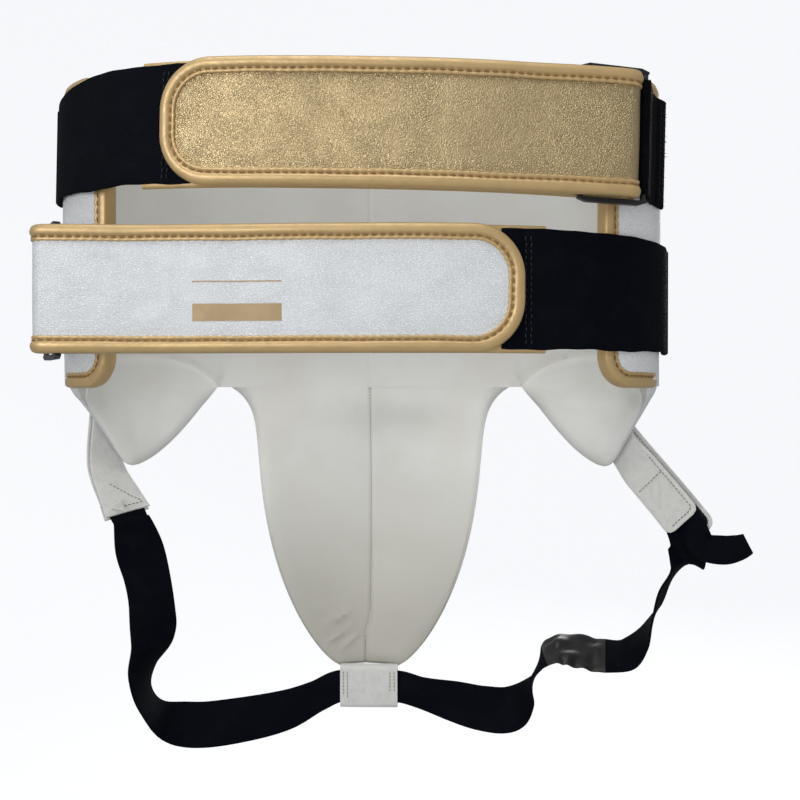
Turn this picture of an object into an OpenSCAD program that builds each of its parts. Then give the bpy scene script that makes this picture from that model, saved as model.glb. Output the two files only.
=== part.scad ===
// Groin protector for boxing: a padded waist belt that closes behind the back with two
// elastic straps, a padded cup in front, two hip pads and an elastic leg strap.
// Worn upright: +Z up, +Y out of the wearer's front. The origin is the centre of the waist
// opening at the belt's mid height. Angles around the waist run from +X through +Y.

/* [Waist] */
// Half of the waist opening's width, side to side
waist_half_w = 166; // [150:1:180]
// Reach of the waist opening in front of its centre
waist_front = 86; // [78:1:94]
// Reach of the waist opening behind its centre
waist_back = 72; // [66:1:80]
// Roundness of the waist curve, where 2 is an ellipse
waist_power = 2.5; // [2.3:0.1:2.7]

/* [Belt] */
// Top edge of the belt above the origin
belt_top = 86; // [80:1:95]
// Bottom edge of the belt
belt_bottom = -86; // [-95:1:-80]
// Thickness of the padded belt
belt_t = 12; // [10:1:14]
// Thickness of the leather skins
leather_t = 1.4; // [1:0.1:1.8]
// Angle behind each side at which the belt's ends stop
belt_end_a = 40.5; // [36:0.5:44]
// Corner radius of the belt's ends
belt_corner_r = 17; // [10:1:25]

/* [Edge binding] */
// Thickness of the binding tape
binding_t = 1.2; // [0.8:0.1:1.4]
// Width of the binding on each face
binding_w = 6; // [5:0.5:8]

/* [Closure straps] */
// Height of the straps and of their elastics
strap_h = 64; // [55:1:66]
// Thickness of the strap
strap_t = 2.6; // [2:0.1:2.6]
// Thickness of the elastic webbing
elastic_t = 1.5; // [1.2:0.1:1.6]
// Thickness of each hook or loop patch
patch_t = 1.6; // [1.2:0.1:1.6]
// Middle height of the upper strap
upper_z = 49; // [46:1:52]
// Middle height of the lower strap
lower_z = -36; // [-40:1:-34]
// Slope of the upper strap in degrees, down towards its ring
upper_tilt = 1.3; // [0:0.1:1.5]
// Corner radius of the straps' free ends
tail_corner_r = 26; // [15:1:28]

/* [Rings] */
// Distance between the two bars of a ring
ring_w = 36; // [32:1:38]
// Radius of a ring's bars
ring_bar_r = 1.5; // [1.2:0.1:1.6]
// Size of a ring's end plates
ring_plate = 2.6; // [2.4:0.1:4]

/* [Hip pads] */
// Depth of the hip pads below the belt
hip_drop = 54; // [45:1:56]
// Angle around the waist of the tip of each hip pad
hip_tip_a = 27; // [25:0.5:29]
// Angle from the tip to the pad's front end
hip_front_a = 29; // [27:0.5:30]
// Angle from the tip to the pad's back end
hip_back_a = 35; // [33:0.5:36]
// Half angle of the rounded tip
hip_round_a = 4; // [2:0.5:5]

/* [Cup] */
// Bottom of the padded cup
cup_bottom = -277; // [-285:1:-270]
// Half width of the cup's bottom edge
cup_tip_w = 20; // [18:1:24]
// Half width of the cup's body
cup_body_w = 78; // [72:1:80]
// How far the cup's middle bulges forward
cup_bulge = 15; // [10:1:18]
// Thickness of the cup pad at its edges
cup_edge_t = 10; // [9:0.5:12]
// Thickness that the middle of the cup adds
cup_mid_t = 16; // [12:1:18]
// Thickness of the hard cup
hard_t = 2.4; // [2:0.1:3]

/* [Leg strap] */
// Width of the leg strap
leg_w = 30; // [26:1:32]
// Width of the leg strap where it is gathered in its loop
leg_loop_w = 22; // [20:1:23]
// Thickness of the leg strap
leg_t = 1.6; // [1.4:0.1:1.8]
// Width of the leather loop under the cup
loop_w = 39; // [34:1:42]
// Height of the leather loop
loop_h = 28; // [27:1:30]

/* [Hidden] */
white = "#f1f1ee";
lining_white = "#e6e5e0";
gold = "#c4a062";
black = "#151517";
foam_grey = "#c9c7c0";
gap = 0.1;

// ---- Shared curves ----

function signed_pow(v, p) = sign(v) * pow(abs(v), p);

function unit(v) = v / norm(v);

function steps(from, to, n) = [for (i = [0:n]) from + (to - from) * i / n];

function reversed(v) = [for (i = [len(v) - 1:-1:0]) v[i]];

function smooth(k) = let (c = min(1, max(0, k))) c * c * (3 - 2 * c);

// Point on the waist curve at angle a, moved out by d
function waist(a, d) =
  let (
    reach = sin(a) >= 0 ? waist_front : waist_back,
    x = waist_half_w * signed_pow(cos(a), 2 / waist_power),
    y = reach * signed_pow(sin(a), 2 / waist_power),
    n = unit([
      signed_pow(x / waist_half_w, waist_power - 1) / waist_half_w,
      signed_pow(y / reach, waist_power - 1) / reach
    ])
  )
  [x, y] + d * n;

// Closed plan outline of a layer between offsets d0 and d1
function waist_band(a0, a1, d0, d1, n) =
  concat([for (a = steps(a0, a1, n)) waist(a, d1)], [for (a = steps(a1, a0, n)) waist(a, d0)]);

// Points of a polyline with both ends drawn in by l along it
function drawn_in(p, l) =
  let (
    m = len(p) - 1,
    first = p[1] - p[0],
    last = p[m - 1] - p[m]
  )
  concat(
    [p[0] + unit(first) * min(l, 0.4 * norm(first))],
    [for (i = [1:m - 1]) p[i]],
    [p[m] + unit(last) * min(l, 0.4 * norm(last))]
  );

// End faces of a loop of n points that goes out along one line and back along another
function band_caps(n) = [for (i = [0:n / 2 - 2]) [i, i + 1, n - 2 - i, n - 1 - i]];

// Loop of a tray: out along outer, then back along the rims and the floor that they hold
function tray_loop(outer, rim, floor, wall) =
  let (m = len(outer) - 1, o = drawn_in(outer, wall), r = drawn_in(rim, wall))
  concat(
    [outer[0]], o, [outer[m]],
    [rim[m], r[m]], reversed(drawn_in(floor, wall)), [r[0], rim[0]]
  );

function tray_caps(n) =
  let (m = n / 2 - 1)
  concat(
    [[0, 1, n - 3, n - 2, n - 1]],
    [for (j = [1:m - 3]) [j, j + 1, n - 3 - j, n - 2 - j]],
    [[m - 2, m - 1, m, m + 1, m + 2]]
  );

// Solid through a stack of closed loops with equal point counts, one at each height. The
// faces of the loop's two halves are split the same way, so thin layers stay parallel.
module loft(loops, tray = false) {
  n = len(loops[0]);
  m = len(loops);
  caps = tray ? tray_caps(n) : band_caps(n);
  polyhedron(
    points = [for (row = loops) each row],
    faces = concat(
      caps,
      [for (c = caps) [for (i = reversed(c)) (m - 1) * n + i]],
      [
        for (j = [0:m - 2], i = [0:n - 1], half = [0, 1])
          let (a = j * n + i, b = j * n + (i + 1) % n)
            i < n / 2
              ? (half == 0 ? [b, a, a + n] : [b, a + n, b + n])
              : (half == 0 ? [b, a, b + n] : [a, a + n, b + n])
      ]
    )
  );
}

// Loop of points at height z from a plan outline
function at_height(outline, z) = [for (p = outline) [p.x, p.y, z]];

// Flat strip through stations of [centre, width direction, width]
function station_dir(s, i) = unit(s[min(i + 1, len(s) - 1)][0] - s[max(i - 1, 0)][0]);

function strip_loop(s, i, t) =
  let (
    dir = station_dir(s, i),
    side = unit(s[i][1] - (s[i][1] * dir) * dir),
    up = cross(dir, side),
    w = side * s[i][2] / 2,
    h = up * t / 2
  )
  [for (c = [[1, 1], [-1, 1], [-1, -1], [1, -1]]) s[i][0] + c.x * w + c.y * h];

module strip(stations, t) {
  loft([for (i = [0:len(stations) - 1]) strip_loop(stations, i, t)]);
}

// Smooth stations through the given ones, n steps between each two
function curve_mix(a, b, c, d, k) =
  0.5 * (2 * b + (c - a) * k + (2 * a - 5 * b + 4 * c - d) * k * k
    + (3 * b - a - 3 * c + d) * k * k * k);

function smooth_stations(s, n) =
  let (m = len(s) - 1)
  concat(
    [
      for (i = [0:m - 1], j = [0:n - 1])
        [
          for (q = [0:2])
            curve_mix(s[max(i - 1, 0)][q], s[i][q], s[i + 1][q], s[min(i + 2, m)][q], j / n)
        ]
    ],
    [s[m]]
  );

// ---- Belt ----

belt_a0 = -belt_end_a;
belt_a1 = 180 + belt_end_a;

// Degrees around the waist for one millimetre at angle a
function degrees_per_mm(a) = 1 / norm(waist(a + 0.5, belt_t) - waist(a - 0.5, belt_t));

// Prism that rounds one corner: a square notch less a quarter cylinder, centred on the arc
module corner_cut(r, depth) {
  difference() {
    translate([0, -depth / 2, 0]) cube([2 * r, depth, 2 * r]);
    rotate([90, 0, 0]) cylinder(h = 2 * depth, r = r, center = true, $fn = 48);
  }
}

// Block of the belt between offsets d0 and d1, drawn in from its edges by inset
module belt_block(d0, d1, inset) {
  a0 = belt_a0 + inset * degrees_per_mm(belt_a0);
  a1 = belt_a1 - inset * degrees_per_mm(belt_a1);
  r = belt_corner_r - inset;
  difference() {
    translate([0, 0, belt_bottom + inset])
      linear_extrude(belt_top - belt_bottom - 2 * inset)
        polygon(waist_band(a0, a1, d0, d1, 56));
    for (side = [0, 1], up = [0, 1]) {
      z = up == 1 ? belt_top - inset - r : belt_bottom + inset + r;
      mirror([side, 0, 0])
        belt_end_frame(a1, r, z)
          mirror([0, 0, 1 - up])
            corner_cut(r, 60);
    }
  }
}

// Puts a corner's arc centre r back from the belt's end at angle a, seen square to the belt
module belt_end_frame(a, r, z) {
  p = waist(a, belt_t / 2);
  q = waist(a - 1, belt_t / 2);
  turn = atan2(p.y - q.y, p.x - q.x);
  translate([p.x, p.y, z]) rotate([0, 0, turn]) translate([-r, 0, 0]) children();
}

module belt_outer_shell() {
  color(white) belt_block(belt_t - leather_t, belt_t, 0);
}

module belt_foam() {
  color(foam_grey) belt_block(leather_t + gap, belt_t - leather_t - gap, 1);
}

module belt_lining() {
  color(lining_white) belt_block(0, leather_t, 0);
}

// U-shaped tape around the top edge, the ends and the back part of the bottom edge
module belt_binding() {
  color(gold)
    difference() {
      belt_block(-binding_t, belt_t + binding_t, -binding_t - gap);
      belt_block(-gap, belt_t + gap, -gap);
      belt_block(-10, belt_t + 10, binding_w);
      translate([-250, -22, -150]) cube([500, 250, 120]);
    }
}

// ---- Hip pads ----

hip_top = belt_bottom - gap;
hip_rows = [0, 0.14, 0.28, 0.42, 0.56, 0.7, 0.82, 0.92, 0.98];

// Angle from the tip to the pad's edge at depth ratio h, for an edge that bends by power p
function hip_spread(h, full, p) =
  (full - hip_round_a) * pow(1 - h, p) + hip_round_a * sqrt(1 - pow(h, 4));

// Line of a hip pad layer at depth ratio h and offset d
function hip_line(h, d) =
  let (
    back = hip_tip_a - hip_spread(h, hip_back_a, 1.9),
    front = hip_tip_a + hip_spread(h, hip_front_a, 0.78)
  )
  [for (a = steps(back, front, 8)) waist(a, d)];

// Places loops of plan points at the pad's heights
function hip_loops(rows, loops) =
  [for (i = [0:len(rows) - 1]) at_height(loops[i], hip_top - hip_drop * rows[i])];

// Outer cover: a tray that is open towards the lining and closed at its tip
module hip_cover() {
  rim = leather_t + 3 * gap;
  closed = hip_rows[len(hip_rows) - 1];
  color(white)
    loft(
      hip_loops(hip_rows, [
        for (h = hip_rows)
          tray_loop(
            hip_line(h, belt_t), hip_line(h, rim),
            hip_line(h, h == closed ? rim + gap : belt_t - leather_t), leather_t
          )
      ]),
      tray = true
    );
}

module hip_foam() {
  rows = [for (i = [0:len(hip_rows) - 3]) hip_rows[i]];
  inset = leather_t + 3 * gap;
  color(foam_grey)
    loft(hip_loops(rows, [
      for (h = rows)
        concat(
          drawn_in(hip_line(h, belt_t - leather_t - 2 * gap), inset),
          reversed(drawn_in(hip_line(h, leather_t + 5 * gap), inset))
        )
    ]));
}

module hip_lining() {
  color(lining_white)
    loft(hip_loops(hip_rows, [
      for (h = hip_rows) concat(hip_line(h, leather_t), reversed(hip_line(h, 0)))
    ]));
}

module right_hip_cover() { hip_cover(); }
module right_hip_foam() { hip_foam(); }
module right_hip_lining() { hip_lining(); }
module left_hip_cover() { mirror([1, 0, 0]) hip_cover(); }
module left_hip_foam() { mirror([1, 0, 0]) hip_foam(); }
module left_hip_lining() { mirror([1, 0, 0]) hip_lining(); }

// ---- Cup ----

cup_top = belt_bottom - gap;
cup_rows = [0, 0.04, 0.1, 0.2, 0.32, 0.45, 0.58, 0.7, 0.8, 0.88, 0.94, 0.98, 1];
// Ratios across the cup at which every layer has points
cup_us = [0, 0.14, 0.28, 0.42, 0.56, 0.7, 0.82, 0.91, 1];
cup_gap = 0.2;

function cup_z(h) = cup_top + (cup_bottom - cup_top) * h;

function cup_half_w(h) =
  cup_tip_w + (cup_body_w - cup_tip_w) * pow(1 - pow(h, 2.6), 0.75) + 18 * exp(-h / 0.06);

// Inner face of the cup at ratio u across and h down
function cup_inner_y(u, h) =
  let (
    edge = 79 - 8 * h,
    mid = waist_front + cup_bulge * sin(180 * h) - 10 * h * h
  )
  edge + (mid - edge) * (1 - u * u);

function cup_t(u, h) =
  cup_edge_t + (2 + (cup_mid_t - 2) * sin(180 * pow(h, 0.9))) * (1 - pow(u, 4));

// Distances of the layer faces behind the cup's inner face
function layer(u, h, k) =
  let (t = cup_t(u, h), hard = 0.45 * t)
  [
    0, leather_t, leather_t + cup_gap, hard - cup_gap, hard, hard + hard_t,
    hard + hard_t + cup_gap, t - leather_t - cup_gap, t - leather_t, t
  ][k];

function cup_point(u, h, k) =
  [u * cup_half_w(h), cup_inner_y(u, h) + layer(u, h, k), cup_z(h)];

function cup_line(us, h, k) = [for (u = us) cup_point(u, h, k)];

function both_sides(us) = concat([for (u = reversed(us)) -u], [for (u = us) if (u > 0) u]);

module cup_layer(us, rows, k0, k1) {
  color(lining_white)
    loft([for (h = rows) concat(cup_line(us, h, k1), reversed(cup_line(us, h, k0)))]);
}

module cup_foam_layer(k0, k1) {
  rows = [for (i = [0:len(cup_rows) - 3]) cup_rows[i]];
  us = both_sides(cup_us);
  inset = leather_t + 2 * cup_gap;
  color(foam_grey)
    loft([
      for (h = rows)
        concat(
          drawn_in(cup_line(us, h, k1), inset), reversed(drawn_in(cup_line(us, h, k0), inset))
        )
    ]);
}

module cup_inner_foam() { cup_foam_layer(2, 3); }

module cup_outer_foam() { cup_foam_layer(6, 7); }

module hard_cup() {
  color("#dcdcda")
    cup_layer(
      both_sides([for (u = cup_us) if (u < 0.9) u]),
      [for (h = cup_rows) if (h > 0.05 && h < 0.92) h], 4, 5
    );
}

// The two lining panels meet at the middle seam, 0.4 mm apart
module cup_lining_right() {
  color(lining_white) cup_layer([for (u = cup_us) max(0.003, u)], cup_rows, 0, 1);
}

module cup_lining_left() {
  color(lining_white) cup_layer([for (u = reversed(cup_us)) -max(0.003, u)], cup_rows, 0, 1);
}

// Outer cover of the cup: a tray that is open towards the lining and closed at the bottom
module cup_cover() {
  us = both_sides(cup_us);
  bottom = cup_rows[len(cup_rows) - 1];
  color(white)
    loft(
      [
        for (h = cup_rows)
          let (rim = cup_line(us, h, 2), floor = cup_line(us, h, 8))
            tray_loop(
              cup_line(us, h, 9), rim,
              h == bottom ? [for (p = rim) p + [0, gap, 0]] : floor, leather_t
            )
      ],
      tray = true
    );
}

// ---- Loop under the cup ----

loop_y = 74;
loop_wall = 1.6;
loop_hollow = 5;

module cup_loop() {
  depth = loop_hollow + 2 * loop_wall;
  color(white)
    translate([0, loop_y, cup_bottom - gap - loop_h / 2])
      difference() {
        cube([loop_w, depth, loop_h], center = true);
        cube([loop_w + 10, loop_hollow, loop_h - 2 * loop_wall], center = true);
      }
}

// ---- Tabs that hold the leg strap ----

tab_t = 1.5;
tab_patch_t = 1;

// Stations moved square to their strip by lift
function lifted(s, lift) =
  [
    for (i = [0:len(s) - 1])
      let (dir = station_dir(s, i), side = unit(s[i][1] - (s[i][1] * dir) * dir))
        [s[i][0] + lift * cross(dir, side), s[i][1], s[i][2]]
  ];

// The left tab's straight end, which is sewn over the strap's end
left_tab_end = [-152, 26, -167];
left_tab_dir = unit([19.5, -16, -29]);

function left_tab_way(l, w) = [left_tab_end + l * left_tab_dir, [0.85, 0.5, 0.05], w];

// Root, knee and end of the left tab
left_tab = [
  [[-175, 43, -112], [0.5, 0.85, 0.05], 22],
  [[-172.5, 43.5, -138], [0.6, 0.8, 0.05], 24],
  left_tab_way(-12, 27),
  left_tab_way(-8, 28),
  left_tab_way(0, 30)
];
left_tab_lift = leg_t / 2 + tab_t / 2 + 3 * gap;

module left_tab_leaf(lift) { strip(lifted(smooth_stations(left_tab, 3), lift), tab_t); }

module left_tab_inner_leaf() { color(white) left_tab_leaf(left_tab_lift); }

module left_tab_outer_leaf() { color(white) left_tab_leaf(-left_tab_lift); }

// Right tab: two leaves that close over the strap with a hook and loop fastening
right_root = [163, 54, -118];
right_dir = unit([39.5, -31, -53]);
right_side = unit([0.6, -0.45, 0.66] - ([0.6, -0.45, 0.66] * right_dir) * right_dir);
right_up = cross(right_dir, right_side);
right_len = 73;
right_flap_len = 85;
right_tab_w = 27;
right_tab_lift = leg_t + tab_patch_t + tab_t / 2 + 0.8;

// Point in the right tab: along it, across it and square to it towards the wearer
function in_tab(l, w, h) = right_root + l * right_dir + w * right_side + h * right_up;

module tab_strip(l0, l1, w, h, t) {
  strip([for (l = [l0, l1]) [in_tab(l, 0, h), right_side, w]], t);
}

// The inner leaf's root lies flat against the hip pad
module right_tab_inner_leaf() {
  color(white)
    strip(
      [
        [[163.5, 52.3, -118], [0.45, -0.566, 0.688], right_tab_w],
        [[168.6, 45.2, -128.1], [0.385, -0.617, 0.688], right_tab_w],
        [in_tab(30, 0, right_tab_lift), right_side, right_tab_w],
        [in_tab(right_len, 0, right_tab_lift), right_side, right_tab_w]
      ],
      tab_t
    );
}

module right_tab_outer_leaf() {
  color(white) tab_strip(0, right_flap_len, right_tab_w, -right_tab_lift, tab_t);
}

tab_patch_lift = right_tab_lift - (tab_t + tab_patch_t) / 2 - gap / 2;

module right_tab_loop() {
  color(black) tab_strip(52, right_len - 1, 22, tab_patch_lift, tab_patch_t);
}

module right_tab_hook() {
  color(black) tab_strip(52, right_flap_len - 3, 22, -tab_patch_lift, tab_patch_t);
}

// ---- Leg strap, one length of elastic through the loop ----

loop_mid_z = cup_bottom - gap - loop_h / 2;
// Radius of the strap's fold inside the right tab
strap_fold_r = 1.3;

leg_left = [
  left_tab_way(-8, leg_w - 8),
  left_tab_way(0, leg_w - 7),
  left_tab_way(4, leg_w - 7),
  left_tab_way(8, leg_w - 6),
  [[-145, 28, -190], [0.95, 0.3, 0.1], leg_w],
  [[-141, 32, -210], [1, 0.1, 0], leg_w],
  [[-139.5, 38, -232], [1, 0.1, 0], leg_w],
  [[-141, 44, -254], [0.75, 0.65, 0], leg_w],
  [[-149, 50, -274], [0.35, 0.95, 0], leg_w],
  [[-149.5, 55, -294], [0, 1, 0.25], leg_w],
  [[-139, 59, -309], [-0.2, 0.8, 0.6], leg_w],
  [[-118, 63, -315], [0, 0.4, 1], leg_w],
  [[-90, 66, -313], [0, 0.15, 1], leg_w],
  [[-58, 70, -307], [0, 0, 1], leg_w - 2],
  [[-36, 73, -298], [0, 0, 1], leg_loop_w],
  [[-20, loop_y, loop_mid_z], [0, 0, 1], leg_loop_w]
];

leg_right = [
  [[0, loop_y, loop_mid_z], [0, 0, 1], leg_loop_w],
  [[20, loop_y, loop_mid_z], [0, 0, 1], leg_loop_w],
  [[36, 73, -295], [0, 0, 1], leg_loop_w],
  [[58, 71, -300], [0, 0, 1], leg_w - 2],
  [[78, 69, -304], [0, 0.15, 1], leg_w],
  [[95, 65, -303], [-0.3, 0.5, 0.8], leg_w],
  [[107, 61, -292], [-0.2, 0.9, 0.2], leg_w],
  [[112.5, 58, -277], [0.35, 0.9, 0], leg_w],
  [[118, 56, -264], [0, 1, 0.2], leg_w],
  [[128, 55, -259], [0, 0.9, 0.4], leg_w],
  [[141.5, 54, -261], [0, 0.85, 0.5], leg_w],
  [[157, 52, -263], [0, 0.85, 0.5], leg_w],
  [[171, 49, -261], [-0.2, 0.9, 0.3], leg_w],
  [[181, 44, -249], [0, 1, 0.1], leg_w],
  [[187, 38, -232], [0.35, 0.9, 0.1], leg_w],
  [[192, 33, -212], [0.5, 0.7, 0.3], leg_w - 2],
  [in_tab(89, -15, -strap_fold_r), right_side, leg_w - 5],
  [in_tab(83, -10, -strap_fold_r), right_side, leg_w - 8],
  [in_tab(74, -6, -strap_fold_r), right_side, leg_w - 9],
  [in_tab(56, -2, -strap_fold_r), right_side, leg_w - 12],
  [in_tab(46, 0, -strap_fold_r), right_side, leg_w - 14]
];

leg_fold = [
  for (a = [90, 54, 18, -18, -54, -90])
    [
      in_tab(44 - strap_fold_r * cos(a), 0, -strap_fold_r * sin(a)),
      right_side,
      leg_w - 14
    ]
];

leg_free = [
  [in_tab(46, 0, strap_fold_r), right_side, leg_w - 14],
  [in_tab(58, 1, strap_fold_r - 0.2), right_side, leg_w - 14],
  [in_tab(70, 2, strap_fold_r - 0.4), right_side, leg_w - 14],
  [in_tab(78, 2, strap_fold_r - 0.8), right_side, leg_w - 14],
  [[211, 18, -185], [0.1, 0.2, 0.9], 17],
  [[222, 14, -187], [0, 0.2, 0.9], 18],
  [[230, 10, -185], [-0.2, 0.2, 0.9], 16],
  [[236, 8, -182], [-0.5, 0.2, 0.8], 13]
];

module leg_strap() {
  color(black)
    strip(
      concat(
        smooth_stations(leg_left, 4), smooth_stations(leg_right, 4),
        leg_fold, smooth_stations(leg_free, 4)
      ),
      leg_t
    );
}

// ---- Closure straps ----
// Drawn with the ring at +X. The lower strap is the same strap mirrored.

strap_off = 16.5;
// Outer radius of the strap's fold through its ring
fold_r = 7.35;
// Distance from the strap's inner face to the tail's outer face where they are fastened
fastened = 2 * strap_t + 2 * patch_t + 3 * gap;
// Length over which the tail comes down from the fold
lead_in = 60;
// Where the fold stops short of the tail's hinge, in degrees, and its binding
fold_end_a = 84;
fold_binding_end_a = 70;

// Each strap: angles of its sewn end, its tail's free end and where it leaves the waist
// curve, then the x of its fold
upper = [235, 240.5, 306, 141];
lower = [239, 244.2, 278, 157.5];

function run_start(s) = waist(s[2], strap_off);

function run_dir(s) = unit(waist(s[2] + 0.5, strap_off) - waist(s[2] - 0.5, strap_off));

function out_dir(s) = let (d = run_dir(s)) [d.y, -d.x];

function fold_foot(s) =
  let (p = run_start(s), d = run_dir(s))
  p + d * (s[3] - p.x) / d.x;

function fold_centre(s) = fold_foot(s) + fold_r * out_dir(s);

// Inner face of the strap, from angle a to the fold, and past it by over
function strap_run(s, a, over = 0) =
  concat(
    [for (b = steps(a, s[2], 18)) waist(b, strap_off)],
    [for (k = steps(0.1, 1, 9)) run_start(s) + k * (fold_foot(s) - run_start(s))],
    over > 0 ? [fold_foot(s) + over * run_dir(s)] : []
  );

function fold_arc(s, r, end_a) =
  let (turn = atan2(run_dir(s).y, run_dir(s).x))
  [for (a = steps(85, -end_a, 12)) fold_centre(s) + r * [cos(turn + a), sin(turn + a)]];

function path_dir(p, i) = unit(p[min(i + 1, len(p) - 1)] - p[max(i - 1, 0)]);

function moved(p, d) =
  [for (i = [0:len(p) - 1]) let (t = path_dir(p, i)) p[i] + d * [t.y, -t.x]];

// Distance of the tail's outer face from the strap's inner face, at distance l from the fold
function tail_rise(l) = fastened + (2 * fold_r - fastened) * smooth(1 - l / lead_in);

// Face of the tail, d below its outer face, above the points p of the strap's inner face
function tail_face(s, p, d) =
  [
    for (i = [0:len(p) - 1])
      let (t = path_dir(p, i))
        p[i] + (tail_rise(norm(p[i] - fold_foot(s))) - d) * [t.y, -t.x]
  ];

module strap_plan(s, d0, d1, end_a, start_a) {
  p = strap_run(s, start_a);
  polygon(concat(
    moved(p, d0), fold_arc(s, fold_r - d0, end_a),
    reversed(fold_arc(s, fold_r - d1, end_a)), reversed(moved(p, d1))
  ));
}

module strap_body(s) {
  linear_extrude(strap_h, center = true) strap_plan(s, 0, strap_t, fold_end_a, s[0]);
}

module strap_edges(s) {
  difference() {
    linear_extrude(strap_h + 2 * (binding_t + gap), center = true)
      strap_plan(s, -binding_t, strap_t + binding_t, fold_binding_end_a, s[0]);
    linear_extrude(strap_h + 2 * gap, center = true)
      strap_plan(s, -gap, strap_t + gap, fold_end_a, s[0] - 1);
    linear_extrude(strap_h - 2 * binding_w, center = true)
      strap_plan(s, -3 * binding_t, strap_t + 3 * binding_t, fold_end_a, s[0] - 2);
  }
}

// Points of the strap's inner face that carry the fastening
function patch_run(s) =
  [for (q = strap_run(s, s[1] + 9)) if (norm(q - fold_foot(s)) > lead_in) q];

module patch_body(near, far) {
  linear_extrude(strap_h - 2 * binding_w - 1, center = true)
    polygon(concat(near, reversed(far)));
}

module strap_loop_patch(s) {
  p = patch_run(s);
  patch_body(moved(p, strap_t + gap), moved(p, strap_t + gap + patch_t));
}

module strap_hook_patch(s) {
  p = patch_run(s);
  patch_body(tail_face(s, p, strap_t + gap + patch_t), tail_face(s, p, strap_t + gap));
}

// Line that the tail turns about, in plan: its outer face where the fold ends
function hinge_point(s) = fold_foot(s) + 2 * fold_r * out_dir(s);

// Tail between depths d0 and d1 below its outer face, drawn in by inset at its free end
module tail_block(s, d0, d1, inset, over = 0) {
  p = strap_run(s, s[1] + inset * degrees_per_mm(s[1]), over);
  near = tail_face(s, p, d0);
  r = tail_corner_r - inset;
  h = strap_h - 2 * inset;
  turn = atan2(near[0].y - near[1].y, near[0].x - near[1].x);
  difference() {
    linear_extrude(h, center = true)
      polygon(concat(near, reversed(tail_face(s, p, d1))));
    for (up = [0, 1])
      mirror([0, 0, up])
        translate([near[0].x, near[0].y, h / 2 - r])
          rotate([0, 0, turn])
            translate([-r, 0, 0])
              corner_cut(r, 40);
  }
}

module tail_body(s) { tail_block(s, 0, strap_t, 0); }

module tail_edges(s) {
  c = hinge_point(s);
  difference() {
    tail_block(s, -binding_t, strap_t + binding_t, -binding_t - gap);
    tail_block(s, -gap, strap_t + gap, -gap, 2);
    tail_block(s, -3 * binding_t, strap_t + 3 * binding_t, binding_w, 4);
    translate([c.x, c.y, 0]) cylinder(h = 2 * strap_h, r = 5, center = true);
  }
}

// Degrees of the strap that the elastic is sewn over
sewn_over = 4.5;

// Elastic from its hem on the belt's side to its seam on the strap
function elastic_off(a, s) =
  let (low = belt_t + binding_t + 2, high = strap_off + strap_t + binding_t + 2 * gap)
  low + (high - low) * smooth((a - 214) / (s[0] - 2 - 214));

module elastic_body(s, hem_a) {
  angles = steps(hem_a, s[0] + sewn_over, 24);
  inner = [for (a = angles) waist(a, elastic_off(a, s))];
  outer = [for (a = angles) waist(a, elastic_off(a, s) + elastic_t)];
  linear_extrude(strap_h - 1, center = true) polygon(concat(inner, reversed(outer)));
}

// Ring with its strap bar at p, its keeper bar ring_w away in direction turn
module ring_body(p, turn) {
  inner_h = strap_h + 3;
  chamfer = 1.5;
  translate([p.x, p.y, 0])
    rotate([0, 0, turn]) {
      for (x = [0, ring_w])
        translate([x, 0, 0]) cylinder(h = inner_h + ring_bar_r, r = ring_bar_r, center = true, $fn = 32);
      for (up = [0, 1])
        mirror([0, 0, up])
          translate([0, 0, inner_h / 2])
            rotate([90, 0, 0])
              linear_extrude(2 * ring_bar_r + 0.2, center = true)
                polygon([
                  [-ring_bar_r, 0], [ring_w + ring_bar_r, 0],
                  [ring_w + ring_bar_r, ring_plate - chamfer],
                  [ring_w - 2 * chamfer, ring_plate],
                  [2 * chamfer, ring_plate], [-ring_bar_r, ring_plate - chamfer]
                ]);
    }
}

keeper_t = 1.5;
keeper_h = 60;
keeper_play = 0.2;

// Webbing that wraps the keeper bar at p and is sewn to the belt from angle a0 to a1
module keeper_body(p, a0, a1) {
  wrap_r = ring_bar_r + keeper_play;
  foot = waist(a0, belt_t + gap + keeper_t / 2);
  reach = norm(foot - p);
  turn = atan2(foot.y - p.y, foot.x - p.x);
  linear_extrude(keeper_h, center = true)
    difference() {
      union() {
        translate(p) circle(r = wrap_r + keeper_t, $fn = 40);
        translate(p) rotate(turn) translate([0, -keeper_t]) square([reach, 2 * keeper_t]);
        polygon(waist_band(a0, a1, belt_t + gap, belt_t + gap + keeper_t, 8));
      }
      translate(p) circle(r = wrap_r, $fn = 40);
      polygon(waist_band(a0 - 20, a1 + 20, -20, belt_t + gap, 24));
    }
}

function upper_bar() = fold_centre(upper) - 24 * run_dir(upper) - 1.05 * out_dir(upper);

function lower_bar() = fold_centre(lower) - 5 * run_dir(lower);

upper_ring_turn = atan2(run_dir(upper).y, run_dir(upper).x);
lower_ring_turn = 60;

function keeper_bar(p, turn) = p + ring_w * [cos(turn), sin(turn)];

module at_upper() { rotate([0, upper_tilt, 0]) translate([0, 0, upper_z]) children(); }

module at_lower() { translate([0, 0, lower_z]) mirror([1, 0, 0]) children(); }

module upper_elastic() { color(black) at_upper() elastic_body(upper, 184); }
module upper_strap() { color(gold) at_upper() strap_body(upper); }
module upper_strap_binding() { color(gold) at_upper() strap_edges(upper); }
module upper_loop_patch() { color(black) at_upper() strap_loop_patch(upper); }
module upper_tail() { color(gold) at_upper() tail_body(upper); }
module upper_tail_binding() { color(gold) at_upper() tail_edges(upper); }
module upper_hook_patch() { color(black) at_upper() strap_hook_patch(upper); }
module upper_ring() { color(black) at_upper() ring_body(upper_bar(), upper_ring_turn); }

module upper_ring_keeper() {
  color(black) at_upper() keeper_body(keeper_bar(upper_bar(), upper_ring_turn), 336, 346);
}

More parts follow.
